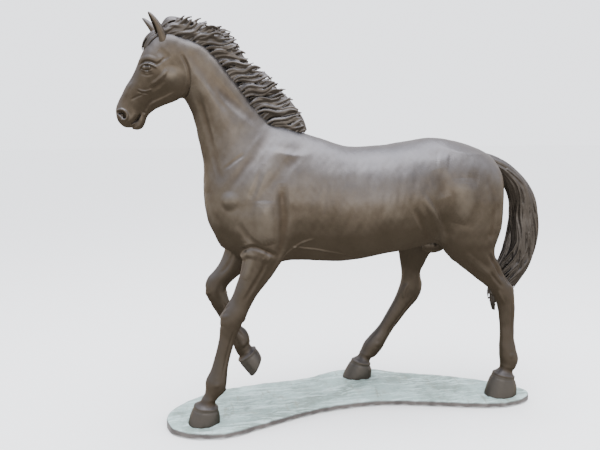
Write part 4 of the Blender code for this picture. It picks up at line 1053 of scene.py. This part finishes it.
sheath_points, sheath_faces = loft(SHEATH, 40, 0.004)
fold = 0.0025 * np.sin(sheath_points[:, 0] * 2 * math.pi / 0.030)
sheath_points[:, 1] *= 1 + fold * 8
show(
    "bronze_sheath",
    smooth_mesh("sheath", sheath_points, sheath_faces),
    skin_bronze,
    "skin_bronze",
    "sheath",
)

# ---- Ears --------------------------------------------------------------------------------
# Two solid castings, each a leaf rolled into a cup, welded to the poll. They prick forward.
EAR_ROWS = 30
EAR_COLUMNS = 22
EAR_WALL = 0.0058
for name, side in (("left_ear", -1), ("right_ear", 1)):
    low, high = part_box(name)
    root = np.array([-0.906, side * 0.042, PLATE_TOP + 2.022])
    near_tip = (low.x - 0.006, -0.074, high.z - 0.002)
    far_tip = (-1.017, 0.080, 2.240)
    tip = np.array(near_tip if side < 0 else far_tip)
    axis = (tip - root) / np.linalg.norm(tip - root)
    facing = np.array([-0.96, side * 0.28, 0.0])
    facing -= axis * (facing @ axis)
    facing /= np.linalg.norm(facing)
    across = np.cross(axis, facing)
    rings = []
    for row in range(EAR_ROWS + 1):
        t = row / EAR_ROWS
        wide = 0.0320 * (0.80 + 0.20 * min(1, 5 * t)) * (1 - 0.44 * t) * (1 - t**6) ** 0.5 + 0.0006
        deep = wide * (1.15 - 0.20 * t)
        open_to = math.radians(155 - 45 * t**0.6)
        bend = 0.012 * math.sin(math.pi * t)
        middle = root + axis * np.linalg.norm(tip - root) * t - facing * bend
        turns = np.linspace(-open_to, open_to, EAR_COLUMNS)
        thin = EAR_WALL * (1 - 0.75 * t)
        inner_share = max(1 - thin / max(wide, 1e-4), 0.30)
        outer = [middle + across * wide * math.sin(a) - facing * deep * math.cos(a) for a in turns]
        inner = [
            middle + inner_share * (across * wide * math.sin(a) - facing * deep * math.cos(a))
            for a in turns[::-1]
        ]
        rings.append(np.array(outer + inner))
    count = 2 * EAR_COLUMNS
    ear_points = np.concatenate(rings + [rings[0].mean(0)[None], rings[-1].mean(0)[None]])
    ear_faces = []
    for row in range(EAR_ROWS):
        for column in range(count):
            a, b = row * count + column, row * count + (column + 1) % count
            ear_faces += [(a, b, b + count), (a, b + count, a + count)]
    for column in range(count):
        after = (column + 1) % count
        last = EAR_ROWS * count
        ear_faces += [
            (after, column, len(ear_points) - 2), (last + column, last + after, len(ear_points) - 1)
        ]
    ear_mesh = mesh_of(name, ear_points, np.array(ear_faces))
    bm = bmesh.new()
    bm.from_mesh(ear_mesh)
    bmesh.ops.recalc_face_normals(bm, faces=bm.faces)
    bm.to_mesh(ear_mesh)
    bm.free()
    ear_mesh.shade_smooth()
    show("bronze_" + name, ear_mesh, skin_bronze, "skin_bronze", name)

# ---- Hair --------------------------------------------------------------------------------
# Mane, forelock and tail: hollow castings modelled as thick wavy locks, each lock grooved
# along its length, blown back from the crest and hanging from the dock.
HAIR_VOXEL = 0.0031
MANE = [
    (-0.932, 2.135, -0.900, 2.070, 0.012, 0.020),
    (-0.885, 2.193, -0.850, 2.055, 0.016, 0.042),
    (-0.790, 2.186, -0.790, 2.045, 0.022, 0.050),
    (-0.695, 2.155, -0.720, 2.010, 0.028, 0.054),
    (-0.605, 2.118, -0.660, 1.960, 0.032, 0.056),
    (-0.520, 2.050, -0.600, 1.895, 0.034, 0.056),
    (-0.445, 1.950, -0.540, 1.805, 0.034, 0.056),
    (-0.365, 1.862, -0.470, 1.715, 0.032, 0.054),
    (-0.275, 1.815, -0.400, 1.640, 0.026, 0.050),
    (-0.205, 1.740, -0.320, 1.580, 0.018, 0.044),
    (-0.155, 1.665, -0.250, 1.555, 0.008, 0.034),
    (-0.135, 1.605, -0.200, 1.540, 0.000, 0.016),
]
TAIL = [
    (0.900, 1.470, 0.900, 1.380, 0.000, 0.040),
    (0.985, 1.457, 0.980, 1.370, 0.000, 0.048),
    (1.069, 1.424, 1.045, 1.335, 0.000, 0.054),
    (1.149, 1.374, 1.090, 1.285, 0.000, 0.060),
    (1.232, 1.295, 1.125, 1.235, 0.000, 0.068),
    (1.292, 1.201, 1.153, 1.169, 0.000, 0.075),
    (1.328, 1.078, 1.158, 1.083, 0.000, 0.080),
    (1.336, 0.962, 1.148, 0.983, 0.000, 0.082),
    (1.323, 0.852, 1.122, 0.880, 0.000, 0.080),
    (1.282, 0.729, 1.082, 0.785, 0.000, 0.074),
    (1.206, 0.618, 1.030, 0.685, 0.000, 0.060),
    (1.140, 0.540, 1.012, 0.600, 0.000, 0.044),
    (1.082, 0.478, 1.040, 0.505, 0.000, 0.018),
]

hair_bronze = bronze(
    "hair_bronze", (0.034, 0.027, 0.020), (0.060, 0.050, 0.040), (0.100, 0.086, 0.072), 0.68, 0.30
)


def hair_maker():
    """Geometry Nodes that give each lock's line its body: an oval with rounded lobes along it."""
    tree = bpy.data.node_groups.new("hair_maker", "GeometryNodeTree")
    face = tree.interface
    face.new_socket("Geometry", in_out="INPUT", socket_type="NodeSocketGeometry")
    for name, value in (("Flatness", 0.62), ("Lobes", 5.0), ("Groove", 0.16), ("Spacing", 0.006)):
        face.new_socket(name, in_out="INPUT", socket_type="NodeSocketFloat").default_value = value
    face.new_socket("Metal", in_out="INPUT", socket_type="NodeSocketMaterial")
    face.new_socket("Geometry", in_out="OUTPUT", socket_type="NodeSocketGeometry")
    given = tree.nodes.new("NodeGroupInput")
    result = tree.nodes.new("NodeGroupOutput")

    def place(kind, settings=None, inputs=None):
        made = tree.nodes.new(kind)
        for key, value in (settings or {}).items():
            setattr(made, key, value)
        for key, value in (inputs or {}).items():
            if isinstance(value, bpy.types.NodeSocket):
                tree.links.new(value, made.inputs[key])
            else:
                made.inputs[key].default_value = value
        return made

    def math_of(operation, *values):
        return place("ShaderNodeMath", {"operation": operation}, dict(enumerate(values))).outputs[0]

    finer = place(
        "GeometryNodeResampleCurve",
        {"mode": "LENGTH"},
        {"Curve": given.outputs["Geometry"], "Length": given.outputs["Spacing"]},
    )
    circle = place("GeometryNodeCurvePrimitiveCircle", None, {"Resolution": 24, "Radius": 1.0})
    spot = place("GeometryNodeInputPosition").outputs[0]
    parts = place("ShaderNodeSeparateXYZ", None, {0: spot}).outputs
    angle = math_of("ARCTAN2", parts[1], parts[0])
    wave = math_of("COSINE", math_of("MULTIPLY", angle, given.outputs["Lobes"]))
    swell = math_of("ADD", math_of("MULTIPLY", wave, given.outputs["Groove"]), 1.0)
    flat = place(
        "ShaderNodeCombineXYZ",
        None,
        {
            0: math_of("MULTIPLY", parts[0], swell),
            1: math_of("MULTIPLY", math_of("MULTIPLY", parts[1], swell), given.outputs["Flatness"]),
        },
    )
    profile = place(
        "GeometryNodeSetPosition",
        None,
        {"Geometry": circle.outputs[0], "Position": flat.outputs[0]},
    )
    radius = place("GeometryNodeInputRadius").outputs[0]
    body = place(
        "GeometryNodeCurveToMesh",
        None,
        {
            "Curve": finer.outputs[0],
            "Profile Curve": profile.outputs[0],
            "Scale": radius,
            "Fill Caps": True,
        },
    )
    plain = place("GeometryNodeRealizeInstances", None, {"Geometry": body.outputs[0]})
    dressed = place(
        "GeometryNodeSetMaterial",
        None,
        {"Geometry": plain.outputs[0], "Material": given.outputs["Metal"]},
    )
    tree.links.new(dressed.outputs[0], result.inputs[0])
    return tree


hair_tree = hair_maker()


def locks_mesh(name, lines, core=None, **sizes):
    """One mesh of all these locks, fused with the core as they are in the casting."""
    curve = bpy.data.curves.new(name, "CURVE")
    curve.dimensions = "3D"
    for path, radii, tilt in lines:
        spline = curve.splines.new("POLY")
        spline.points.add(len(path) - 1)
        spline.points.foreach_set("co", np.column_stack([path, np.ones(len(path))]).ravel())
        spline.points.foreach_set("radius", radii)
        spline.points.foreach_set("tilt", np.full(len(path), tilt))
    thing = bpy.data.objects.new(name, curve)
    bpy.context.scene.collection.objects.link(thing)
    modifier = thing.modifiers.new("hair", "NODES")
    modifier.node_group = hair_tree
    sockets = {
        item.name: item.identifier
        for item in hair_tree.interface.items_tree
        if item.in_out == "INPUT"
    }
    modifier[sockets["Metal"]] = hair_bronze
    for key, value in sizes.items():
        modifier[sockets[key]] = value
    bpy.context.view_layer.update()
    graph = bpy.context.evaluated_depsgraph_get()
    mesh = bpy.data.meshes.new_from_object(thing.evaluated_get(graph), depsgraph=graph)
    thing.modifiers.clear()
    bpy.data.objects.remove(thing)
    bm = bmesh.new()
    bm.from_mesh(mesh)
    if core:
        core_mesh = mesh_of(name + "_core", *core)
        bm.from_mesh(core_mesh)
    bm.to_mesh(mesh)
    bm.free()
    fused = bpy.data.objects.new(name, mesh)
    bpy.context.scene.collection.objects.link(fused)
    grain = fused.modifiers.new("fuse", "REMESH")
    grain.mode = "VOXEL"
    grain.voxel_size = HAIR_VOXEL
    bpy.context.view_layer.update()
    graph = bpy.context.evaluated_depsgraph_get()
    result = bpy.data.meshes.new_from_object(fused.evaluated_get(graph), depsgraph=graph)
    fused.modifiers.clear()
    bpy.data.objects.remove(fused)
    relax(result, 2, 0.45)
    result.shade_smooth()
    return result


draw = np.random.default_rng(21)


def lock(root, tip, radius, arch, wave, cycles, curl, sway, tilt):
    """A lock's path, its radius along it, and its tilt."""
    t = np.linspace(0, 1, 18)
    root, tip = np.array(root, float), np.array(tip, float)
    line = tip - root
    length = np.linalg.norm(line)
    normal = np.array([-line[2], 0, line[0]]) / max(math.hypot(line[0], line[2]), 1e-6)
    if normal[2] < 0:
        normal = -normal
    phase = draw.uniform(-0.7, 0.7)
    rise = (
        arch * 4 * t * (1 - t)
        + wave * np.sin(2 * math.pi * cycles * t + phase) * np.sqrt(t)
        + curl * t**4
    )
    path = root + line * t[:, None] + normal * (rise * length)[:, None]
    path[:, 1] += sway * np.sin(math.pi * t * 1.5 + phase) * length
    radii = radius * (0.62 + 0.50 * np.sin(math.pi * np.clip(t * 1.05, 0, 1)) ** 0.8) * (
        1 - 0.30 * t**5
    )
    return path, radii, tilt


# Each row: where a lock leaves the crest and where its tip is, from the poll to the withers.
MANE_FLOW = np.array(
    [
        (-0.937, 2.088, -0.800, 2.178),
        (-0.908, 2.108, -0.730, 2.162),
        (-0.845, 2.108, -0.628, 2.128),
        (-0.766, 2.092, -0.535, 2.080),
        (-0.687, 2.046, -0.480, 2.015),
        (-0.598, 1.968, -0.418, 1.925),
        (-0.526, 1.872, -0.305, 1.850),
        (-0.460, 1.776, -0.218, 1.752),
        (-0.385, 1.693, -0.158, 1.668),
        (-0.325, 1.632, -0.140, 1.612),
        (-0.288, 1.605, -0.140, 1.585),
    ]
)
MANE_GROUPS = {"mane_upper": (0.0, 0.36), "mane_middle": (0.36, 0.68), "mane_lower": (0.68, 1.001)}
MANE_STEPS = 44
# How far aside each layer of locks lies, its share of the mane's depth, and its thickness.
MANE_LAYERS = (
    (-0.048, 0.90, 0.0105), (-0.040, 0.97, 0.0110), (-0.018, 0.96, 0.0130), (0.014, 0.96, 0.0140),
    (0.048, 0.97, 0.0130), (0.074, 0.88, 0.0120),
)


def core_of(rows, inset, share):
    """A core under the hair: its rows, drawn in at both edges, and a share of their width."""
    found = []
    for lead_x, lead_z, trail_x, trail_z, middle, half_width in (row[:6] for row in rows):
        found.append(
            (
                lead_x + (trail_x - lead_x) * inset,
                lead_z + (trail_z - lead_z) * inset,
                trail_x + (lead_x - trail_x) * inset,
                trail_z + (lead_z - trail_z) * inset,
                middle,
                half_width * share,
            )
        )
    return found


for name, (first, last) in MANE_GROUPS.items():
    lines = []
    for step in range(MANE_STEPS):
        share = (step + 0.5) / MANE_STEPS
        if not first <= share < last:
            continue
        for layer, (aside, reach, thick) in enumerate(MANE_LAYERS):
            spot = (
                min(
                    max(share + draw.uniform(-0.012, 0.012) + (layer % 2) * 0.5 / MANE_STEPS, 0),
                    0.999,
                )
                * (len(MANE_FLOW) - 1)
            )
            index = int(spot)
            x0, z0, x1, z1 = MANE_FLOW[index] + (MANE_FLOW[index + 1] - MANE_FLOW[index]) * (
                spot - index
            )
            if layer == 0:
                x0, z0 = x0 - 0.006, z0 - 0.012
            root = (x0 - 0.018, aside * 0.88, z0 + PLATE_TOP - 0.030)
            far = reach * draw.uniform(0.84, 0.96)
            tip = (
                x0 + (x1 - x0) * far,
                aside + draw.uniform(-0.012, 0.012),
                z0 + (z1 - z0) * far + PLATE_TOP + draw.uniform(-0.014, 0.010),
            )
            lines.append(
                lock(
                    root, tip, thick * draw.uniform(0.72, 1.05), draw.uniform(0.08, 0.17),
                    draw.uniform(0.040, 0.085), draw.uniform(1.0, 1.5), draw.uniform(0.02, 0.16),
                    draw.uniform(-0.05, 0.05), draw.uniform(0.9, 2.2),
                )
            )
    if name == "mane_upper":
        for strand in range(12):
            aside = draw.uniform(-0.040, 0.045)
            root = (
                -0.935 + draw.uniform(0, 0.03), aside, PLATE_TOP + 2.085 + draw.uniform(0, 0.02)
            )
            tip = (
                -0.80 + draw.uniform(-0.05, 0.03),
                aside + draw.uniform(-0.01, 0.01),
                PLATE_TOP + 2.165 + draw.uniform(-0.01, 0.012),
            )
            lines.append(
                lock(
                    root, tip, draw.uniform(0.007, 0.010), draw.uniform(0.15, 0.24), 0.03, 1.2,
                    draw.uniform(-0.10, 0.02), 0.03, draw.uniform(0.9, 2.2),
                )
            )
    low_row, high_row = int(first * 11), min(int(math.ceil(last * 11)) + 1, len(MANE) - 1)
    core_rows = core_of(MANE[low_row : high_row + 1], 0.0, 0.90)
    show(
        "bronze_" + name,
        locks_mesh(name, lines, loft(core_rows, 32, 0.010)),
        hair_bronze,
        "hair_bronze",
        name,
    )

# The forelock falls between the ears and curls over on the forehead.
FORELOCK_STRANDS = 9
bend = np.array(
    [
        (-0.905, 2.105), (-0.945, 2.118), (-0.985, 2.095), (-1.012, 2.058), (-1.020, 2.025),
        (-1.010, 2.012), (-1.002, 2.028), (-1.010, 2.040),
    ]
)
lines = []
for strand in range(FORELOCK_STRANDS):
    share = strand / (FORELOCK_STRANDS - 1) - 0.5
    path = densely(np.column_stack([bend[:, 0], np.zeros(len(bend)), bend[:, 1]]), 0.007)
    count = max(8, int(len(path) * (0.62 + 0.38 * (strand % 3) / 2)))
    path = path[:count]
    t = np.linspace(0, 1, count)
    path[:, 1] = share * 0.086 * (1 - 0.15 * t) - 0.012 * t + 0.003 * np.sin(6 * t + strand)
    path[:, 2] += PLATE_TOP - 0.004 - 0.046 * abs(share) + draw.uniform(-0.003, 0.003)
    path[:, 0] += 0.040 * abs(share) + 0.005 * (strand % 2)
    radii = 0.0086 * (0.75 + 0.4 * np.sin(math.pi * np.clip(t, 0, 1))) * (1 - 0.6 * t**3)
    lines.append((path, radii, draw.uniform(0, 1.5)))
show(
    "bronze_forelock",
    locks_mesh("forelock", lines, Lobes=3.0, Groove=0.28),
    hair_bronze,
    "hair_bronze",
    "forelock",
)

# The tail: long strands side by side from the dock to the tip, in slow waves that they share.
tail_rows = rows_between(TAIL, 0.020)
lines = []
# How many strands each layer has, their share of the tail's depth, and their thickness.
TAIL_LAYERS = ((30, 0.86, 0.0150), (16, 0.50, 0.0190), (30, 0.98, 0.0082))
for layer, (count, depth, thick) in enumerate(TAIL_LAYERS):
    for strand in range(count):
        turn = 2 * math.pi * (strand + draw.uniform(-0.22, 0.22)) / count + layer * 0.35
        last = draw.uniform(0.80, 1.0) if layer < 2 else draw.uniform(0.70, 0.90)
        first = 0.0 if layer < 2 else draw.uniform(0.0, 0.35)
        begin, end = int(first * len(tail_rows)), int(last * len(tail_rows))
        waves, shift = draw.uniform(1.6, 2.3), draw.uniform(-0.5, 0.5)
        path, radii = [], []
        for index in range(begin, end):
            t = index / (len(tail_rows) - 1)
            along = (index - begin) / max(end - begin - 1, 1)
            row = tail_rows[index].copy()
            swing = 0.34 * math.sin(2 * math.pi * waves * t + 0.8 * math.sin(turn) + shift) * min(
                1, 3 * t
            )
            spot = around_section(row, np.array([turn + swing]))[0]
            middle = np.array([(row[0] + row[2]) / 2, row[4], (row[1] + row[3]) / 2])
            path.append(
                middle + (spot - middle) * (depth * (0.93 + 0.05 * math.sin(9 * t + strand)))
            )
            radii.append(
                thick
                * min(1.0, row[5] / 0.070) ** 0.8
                * (0.70 + 0.45 * math.sin(math.pi * along) ** 0.6)
                * (1 - along**8)
                + 0.0012
            )
        lines.append((np.array(path), np.array(radii), draw.uniform(0, 3)))
# One short lock hangs lower than the rest, in front of the others.
tip_middle = TAIL[-1][4]
for shift, thick in ((0.0, 0.026), (0.012, 0.016), (-0.012, 0.016)):
    path = densely(
        [
            (1.135, tip_middle + shift, 0.790),
            (1.085, tip_middle + shift, 0.700),
            (1.062, tip_middle + shift, 0.600),
            (1.070, tip_middle + shift, 0.530),
        ],
        0.010,
    )
    t = np.linspace(0, 1, len(path))
    lines.append(
        (
            path,
            thick * (0.55 + 0.45 * np.sin(math.pi * t**1.3) ** 0.7) * (1 - 0.3 * t**6),
            0.4 + 30 * shift,
        )
    )
core_rows = core_of(TAIL[:-1], 0.12, 0.78)
show(
    "bronze_tail",
    locks_mesh("tail", lines, loft(core_rows, 32, 0.012), Flatness=0.70),
    hair_bronze,
    "hair_bronze",
    "tail_upper",
    "tail_lower",
)

# ---- Ground plate ------------------------------------------------------------------------
# A bronze tray with its open side down, modelled as trodden ground and left green, with a
# low mound under the right hind hoof. Its edge is lumpy, as it was cast.
PLATE_OUTLINE = [
    (-0.965, -0.085),
    (-0.925, -0.195),
    (-0.820, -0.268),
    (-0.630, -0.296),
    (-0.440, -0.232),
    (-0.210, -0.146),
    (0.000, -0.098),
    (0.190, -0.082),
    (0.400, -0.106),
    (0.650, -0.178),
    (0.850, -0.242),
    (1.030, -0.268),
    (1.170, -0.236),
    (1.235, -0.170),
    (1.195, -0.070),
    (1.060, 0.050),
    (0.870, 0.170),
    (0.640, 0.275),
    (0.400, 0.355),
    (0.150, 0.376),
    (-0.110, 0.332),
    (-0.400, 0.306),
    (-0.640, 0.262),
    (-0.830, 0.150),
    (-0.935, 0.030),
]
WALL = 0.008
MOUND = ((RIGHT_HIND[-1][0] + RIGHT_HIND[-1][2]) / 2, RIGHT_HIND[-1][4])
MOUND_RISE, MOUND_TOP_RADIUS, MOUND_FOOT_RADIUS = 0.024, 0.13, 0.32
edge_line = densely([(x, 0, y) for x, y in PLATE_OUTLINE + PLATE_OUTLINE[:1]], 0.006)[:, [0, 2]]
front_x, rear_x = edge_line[:, 0].min(), edge_line[:, 0].max()
front, rear = edge_line[:, 0].argmin(), edge_line[:, 0].argmax()
near_edge = edge_line[front : rear + 1]
far_edge = np.concatenate([edge_line[rear:], edge_line[: front + 1]])[::-1]
COLUMNS = 330
TOP_CELLS = 96
hand = np.random.default_rng(5)
swells = [
    (hand.normal(size=2), hand.uniform(0, 6.28), size, high) for size, high in [(0.30, 0.0022)] * 4
    + [(0.12, 0.0016)] * 6
    + [(0.05, 0.0010)] * 8
    + [(0.022, 0.0006)] * 8
]


def roll_of(x, y):
    """The unevenness of modelled ground."""
    total = 0 * x
    for heading, phase, size, high in swells:
        heading = heading / np.linalg.norm(heading)
        total = total + high * np.sin(
            (x * heading[0] + y * heading[1]) * 2 * math.pi / size + phase
        )
    return total * 0.60


def ground(x, y):
    fall = (np.hypot(x - MOUND[0], y - MOUND[1]) - MOUND_TOP_RADIUS) / (
        MOUND_FOOT_RADIUS - MOUND_TOP_RADIUS
    )
    fall = np.clip(fall, 0, 1)
    return PLATE_TOP + MOUND_RISE * (1 - fall * fall * (3 - 2 * fall)) - 0.002 + roll_of(x, y)


rings = []
for column in range(COLUMNS + 1):
    t = 0.5 - 0.5 * math.cos(math.pi * column / COLUMNS)
    x = front_x + 0.004 + (rear_x - front_x - 0.008) * (0.75 * t + 0.25 * column / COLUMNS)
    y0 = np.interp(x, near_edge[:, 0], near_edge[:, 1])
    y1 = np.interp(x, far_edge[:, 0], far_edge[:, 1])
    lump0 = 0.0030 * math.sin(x * 31 + 1) * math.sin(x * 17) + 0.0008 * math.sin(x * 97)
    lump1 = 0.0030 * math.sin(x * 27 + 2) * math.sin(x * 23) + 0.0008 * math.sin(x * 89)
    wide = max(y1 - y0, 0.004)
    ends = min(1.0, wide / 0.10)
    y0, y1 = y0 + 0.001 + lump0 * ends, y1 - 0.001 + lump1 * ends
    wide = max(y1 - y0, 0.003)
    y1 = y0 + wide
    s = np.linspace(0, 1, TOP_CELLS + 1)
    across = y0 + wide * s
    drop = 0.010 * (np.exp(-((across - y0) / 0.012)) + np.exp(-((y1 - across) / 0.012)))
    top = np.column_stack(
        [across, ground(np.full_like(across, x), across) - np.minimum(drop, 0.011)]
    )
    calm = np.clip(np.minimum(across - y0, y1 - across) / 0.09, 0, 1)
    top[:, 1] -= roll_of(np.full_like(across, x), across) * (1 - calm) * 0.8
    inset = min(WALL, wide * 0.3)
    side = ((0.0, -0.001), (0.3, -0.006), (0.65, -0.004))
    left = [
        (y0 + dy * ends + 0.0010 * math.sin(x * 61 + 9 * h) * ends, top[0, 1] * h) for h, dy in side
    ]
    right = [
        (y1 - dy * ends + 0.0010 * math.sin(x * 53 + 9 * h) * ends, top[-1, 1] * h)
        for h, dy in side[::-1]
    ]
    under = np.linspace(y1 - inset, y0 + inset, 13)
    roof = PLATE_TOP - WALL - 0.006
    inner = [(under[0], 0.0)] + [(y, roof) for y in under] + [(under[-1], 0.0)]
    section = left + top.tolist() + right + inner
    rings.append(np.array([(x, y, z) for y, z in section]))
count = len(rings[0])
plate_points = np.concatenate(rings)
index = np.arange(COLUMNS * count).reshape(COLUMNS, count)
after = np.roll(index, -1, axis=1)
plate_faces = np.stack([index, after, after + count, index + count], axis=-1).reshape(-1, 4)
bm = bmesh.new()
bm.from_mesh(mesh_of("plate", plate_points, plate_faces))
bmesh.ops.holes_fill(bm, edges=[edge for edge in bm.edges if edge.is_boundary], sides=0)
bmesh.ops.triangulate(bm, faces=[face for face in bm.faces if len(face.verts) > 4])
bmesh.ops.recalc_face_normals(bm, faces=bm.faces)
plate_mesh = bpy.data.meshes.new("ground_plate")
bm.to_mesh(plate_mesh)
bm.free()
plate_mesh.shade_smooth()
plate_mesh.set_sharp_from_angle(angle=math.radians(50))

plate_bronze, start = new_material("plate_bronze")
place = start.node("ShaderNodeTexCoord", output=3)
facing = start.node("ShaderNodeNewGeometry", output=1)
up = facing.node("ShaderNodeSeparateXYZ", None, {0: facing}, output=2)
cloud = place.noise(3.2, 5.0, 0.6)
stain = place.noise(9.0, 6.0, 0.65)
brushed = place.noise(24.0, 5.0, 0.7, (0.16, 1.6, 1.0))
strokes = place.noise(30.0, 6.0, 0.7, (0.9, 0.22, 1.0))
grit = place.noise(140.0, 4.0, 0.6)
green = (cloud * 0.5 + stain * 0.5).between(0.38, 0.62).mixed(
    (0.190, 0.245, 0.220), (0.360, 0.475, 0.460)
)
green = (brushed.between(0.48, 0.62) * 0.70).mixed(green, (0.560, 0.690, 0.690))
green = (strokes.between(0.56, 0.66) * 0.60).mixed(green, (0.235, 0.250, 0.200))
green = (stain.between(0.58, 0.72) * 0.45).mixed(green, (0.260, 0.250, 0.205))
green = (grit.between(0.56, 0.70) * 0.35).mixed(green, (0.300, 0.315, 0.280))
edge_color = stain.between(0.40, 0.62).mixed((0.046, 0.038, 0.034), (0.085, 0.073, 0.066))
color = up.between(0.35, 0.80).mixed(edge_color, green)
# Paler, almost white, on convex edges.
convex_edge_pale = start.node("ShaderNodeNewGeometry", output=7).between(0.53, 0.60)
color = (convex_edge_pale * 0.8).mixed(color, (0.820, 0.840, 0.820))
height = 0.5 * brushed + 0.4 * strokes + 0.2 * grit
bumped = height.node(
    "ShaderNodeBump", None, {"Height": height, "Strength": 0.45, "Distance": 0.004}
)
shader = start.node(
    "ShaderNodeBsdfPrincipled",
    None,
    {"Base Color": color, "Roughness": 0.52 + 0.2 * stain, "Metallic": 0.25, "Normal": bumped},
)
finish_material(start, shader)
show(
    "bronze_ground_plate", plate_mesh, plate_bronze, "plate_bronze", "ground_plate_front",
    "ground_plate_rear",
)

# ---- Steel inside ------------------------------------------------------------------------
# The frame that carries the castings: turned rods, drawn tubes, cut bars and anchor sockets.
steel, start = new_material("steel")
place = start.node("ShaderNodeTexCoord", output=3)
drawn = place.noise(60.0, 5.0, 0.6, (1, 1, 0.08))
scale = place.noise(18.0, 5.0, 0.6)
color = (scale * 0.6 + drawn * 0.4).between(0.35, 0.65).mixed(
    (0.300, 0.295, 0.285), (0.560, 0.555, 0.545)
)
color = (scale.between(0.60, 0.72) * 0.4).mixed(color, (0.230, 0.150, 0.095))
bumped = drawn.node("ShaderNodeBump", None, {"Height": drawn, "Strength": 0.25, "Distance": 0.0006})
shader = start.node(
    "ShaderNodeBsdfPrincipled",
    None,
    {"Base Color": color, "Roughness": 0.30 + 0.2 * scale, "Metallic": 1.0, "Normal": bumped},
)
finish_material(start, shader)
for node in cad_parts.values():
    if not node.hide_render:
        for material_slot in node.material_slots:
            material_slot.material = steel

# ---- Studio ------------------------------------------------------------------------------
# A pale floor, a large soft light overhead and a weaker one from the camera's side.
FLOOR_HALF = 40.0
bm = bmesh.new()
bm.faces.new(
    [
        bm.verts.new((x, y, cad_box[0][2] - 0.0005)) for x, y in (
            (-FLOOR_HALF, -FLOOR_HALF), (FLOOR_HALF, -FLOOR_HALF), (FLOOR_HALF, FLOOR_HALF),
            (-FLOOR_HALF, FLOOR_HALF),
        )
    ]
)
floor_mesh = bpy.data.meshes.new("floor")
bm.to_mesh(floor_mesh)
bm.free()
pale, start = new_material("pale_floor")
shader = start.node(
    "ShaderNodeBsdfPrincipled", None, {"Base Color": (0.96, 0.96, 0.96, 1), "Roughness": 0.9}
)
finish_material(start, shader)
floor_mesh.materials.append(pale)
floor = bpy.data.objects.new("floor", floor_mesh)
bpy.context.scene.collection.objects.link(floor)


def soft_light(name, spot, target, size, power, color):
    lamp = bpy.data.lights.new(name, "AREA")
    lamp.shape = "RECTANGLE"
    lamp.size, lamp.size_y = size
    lamp.energy = power
    lamp.color = color
    thing = bpy.data.objects.new(name, lamp)
    thing.location = spot
    thing.rotation_euler = (Vector(target) - Vector(spot)).to_track_quat("-Z", "Y").to_euler()
    bpy.context.scene.collection.objects.link(thing)


soft_light("overhead", (0.2, -0.3, 5.4), (0.1, 0.0, 1.0), (5.5, 3.2), 400.0, (0.93, 0.95, 1.0))
soft_light("front", (0.8, -5.2, 2.8), (0.4, 0.0, 1.1), (3.0, 2.4), 80.0, (1.0, 0.97, 0.94))
world = bpy.data.worlds.new("studio")
world.use_nodes = True
world.node_tree.nodes["Background"].inputs["Color"].default_value = (0.93, 0.95, 1.0, 1)
world.node_tree.nodes["Background"].inputs["Strength"].default_value = 2.5
bpy.context.scene.world = world

camera_data = bpy.data.cameras.new("camera")
camera_data.sensor_width = 36.0
camera_data.lens = 38.4
camera = bpy.data.objects.new("camera", camera_data)
camera.location = (-0.952, -3.545, 1.691)
camera.rotation_euler = (math.radians(90 - 9.08), 0, math.radians(-12.35))
bpy.context.scene.collection.objects.link(camera)
bpy.context.scene.camera = camera
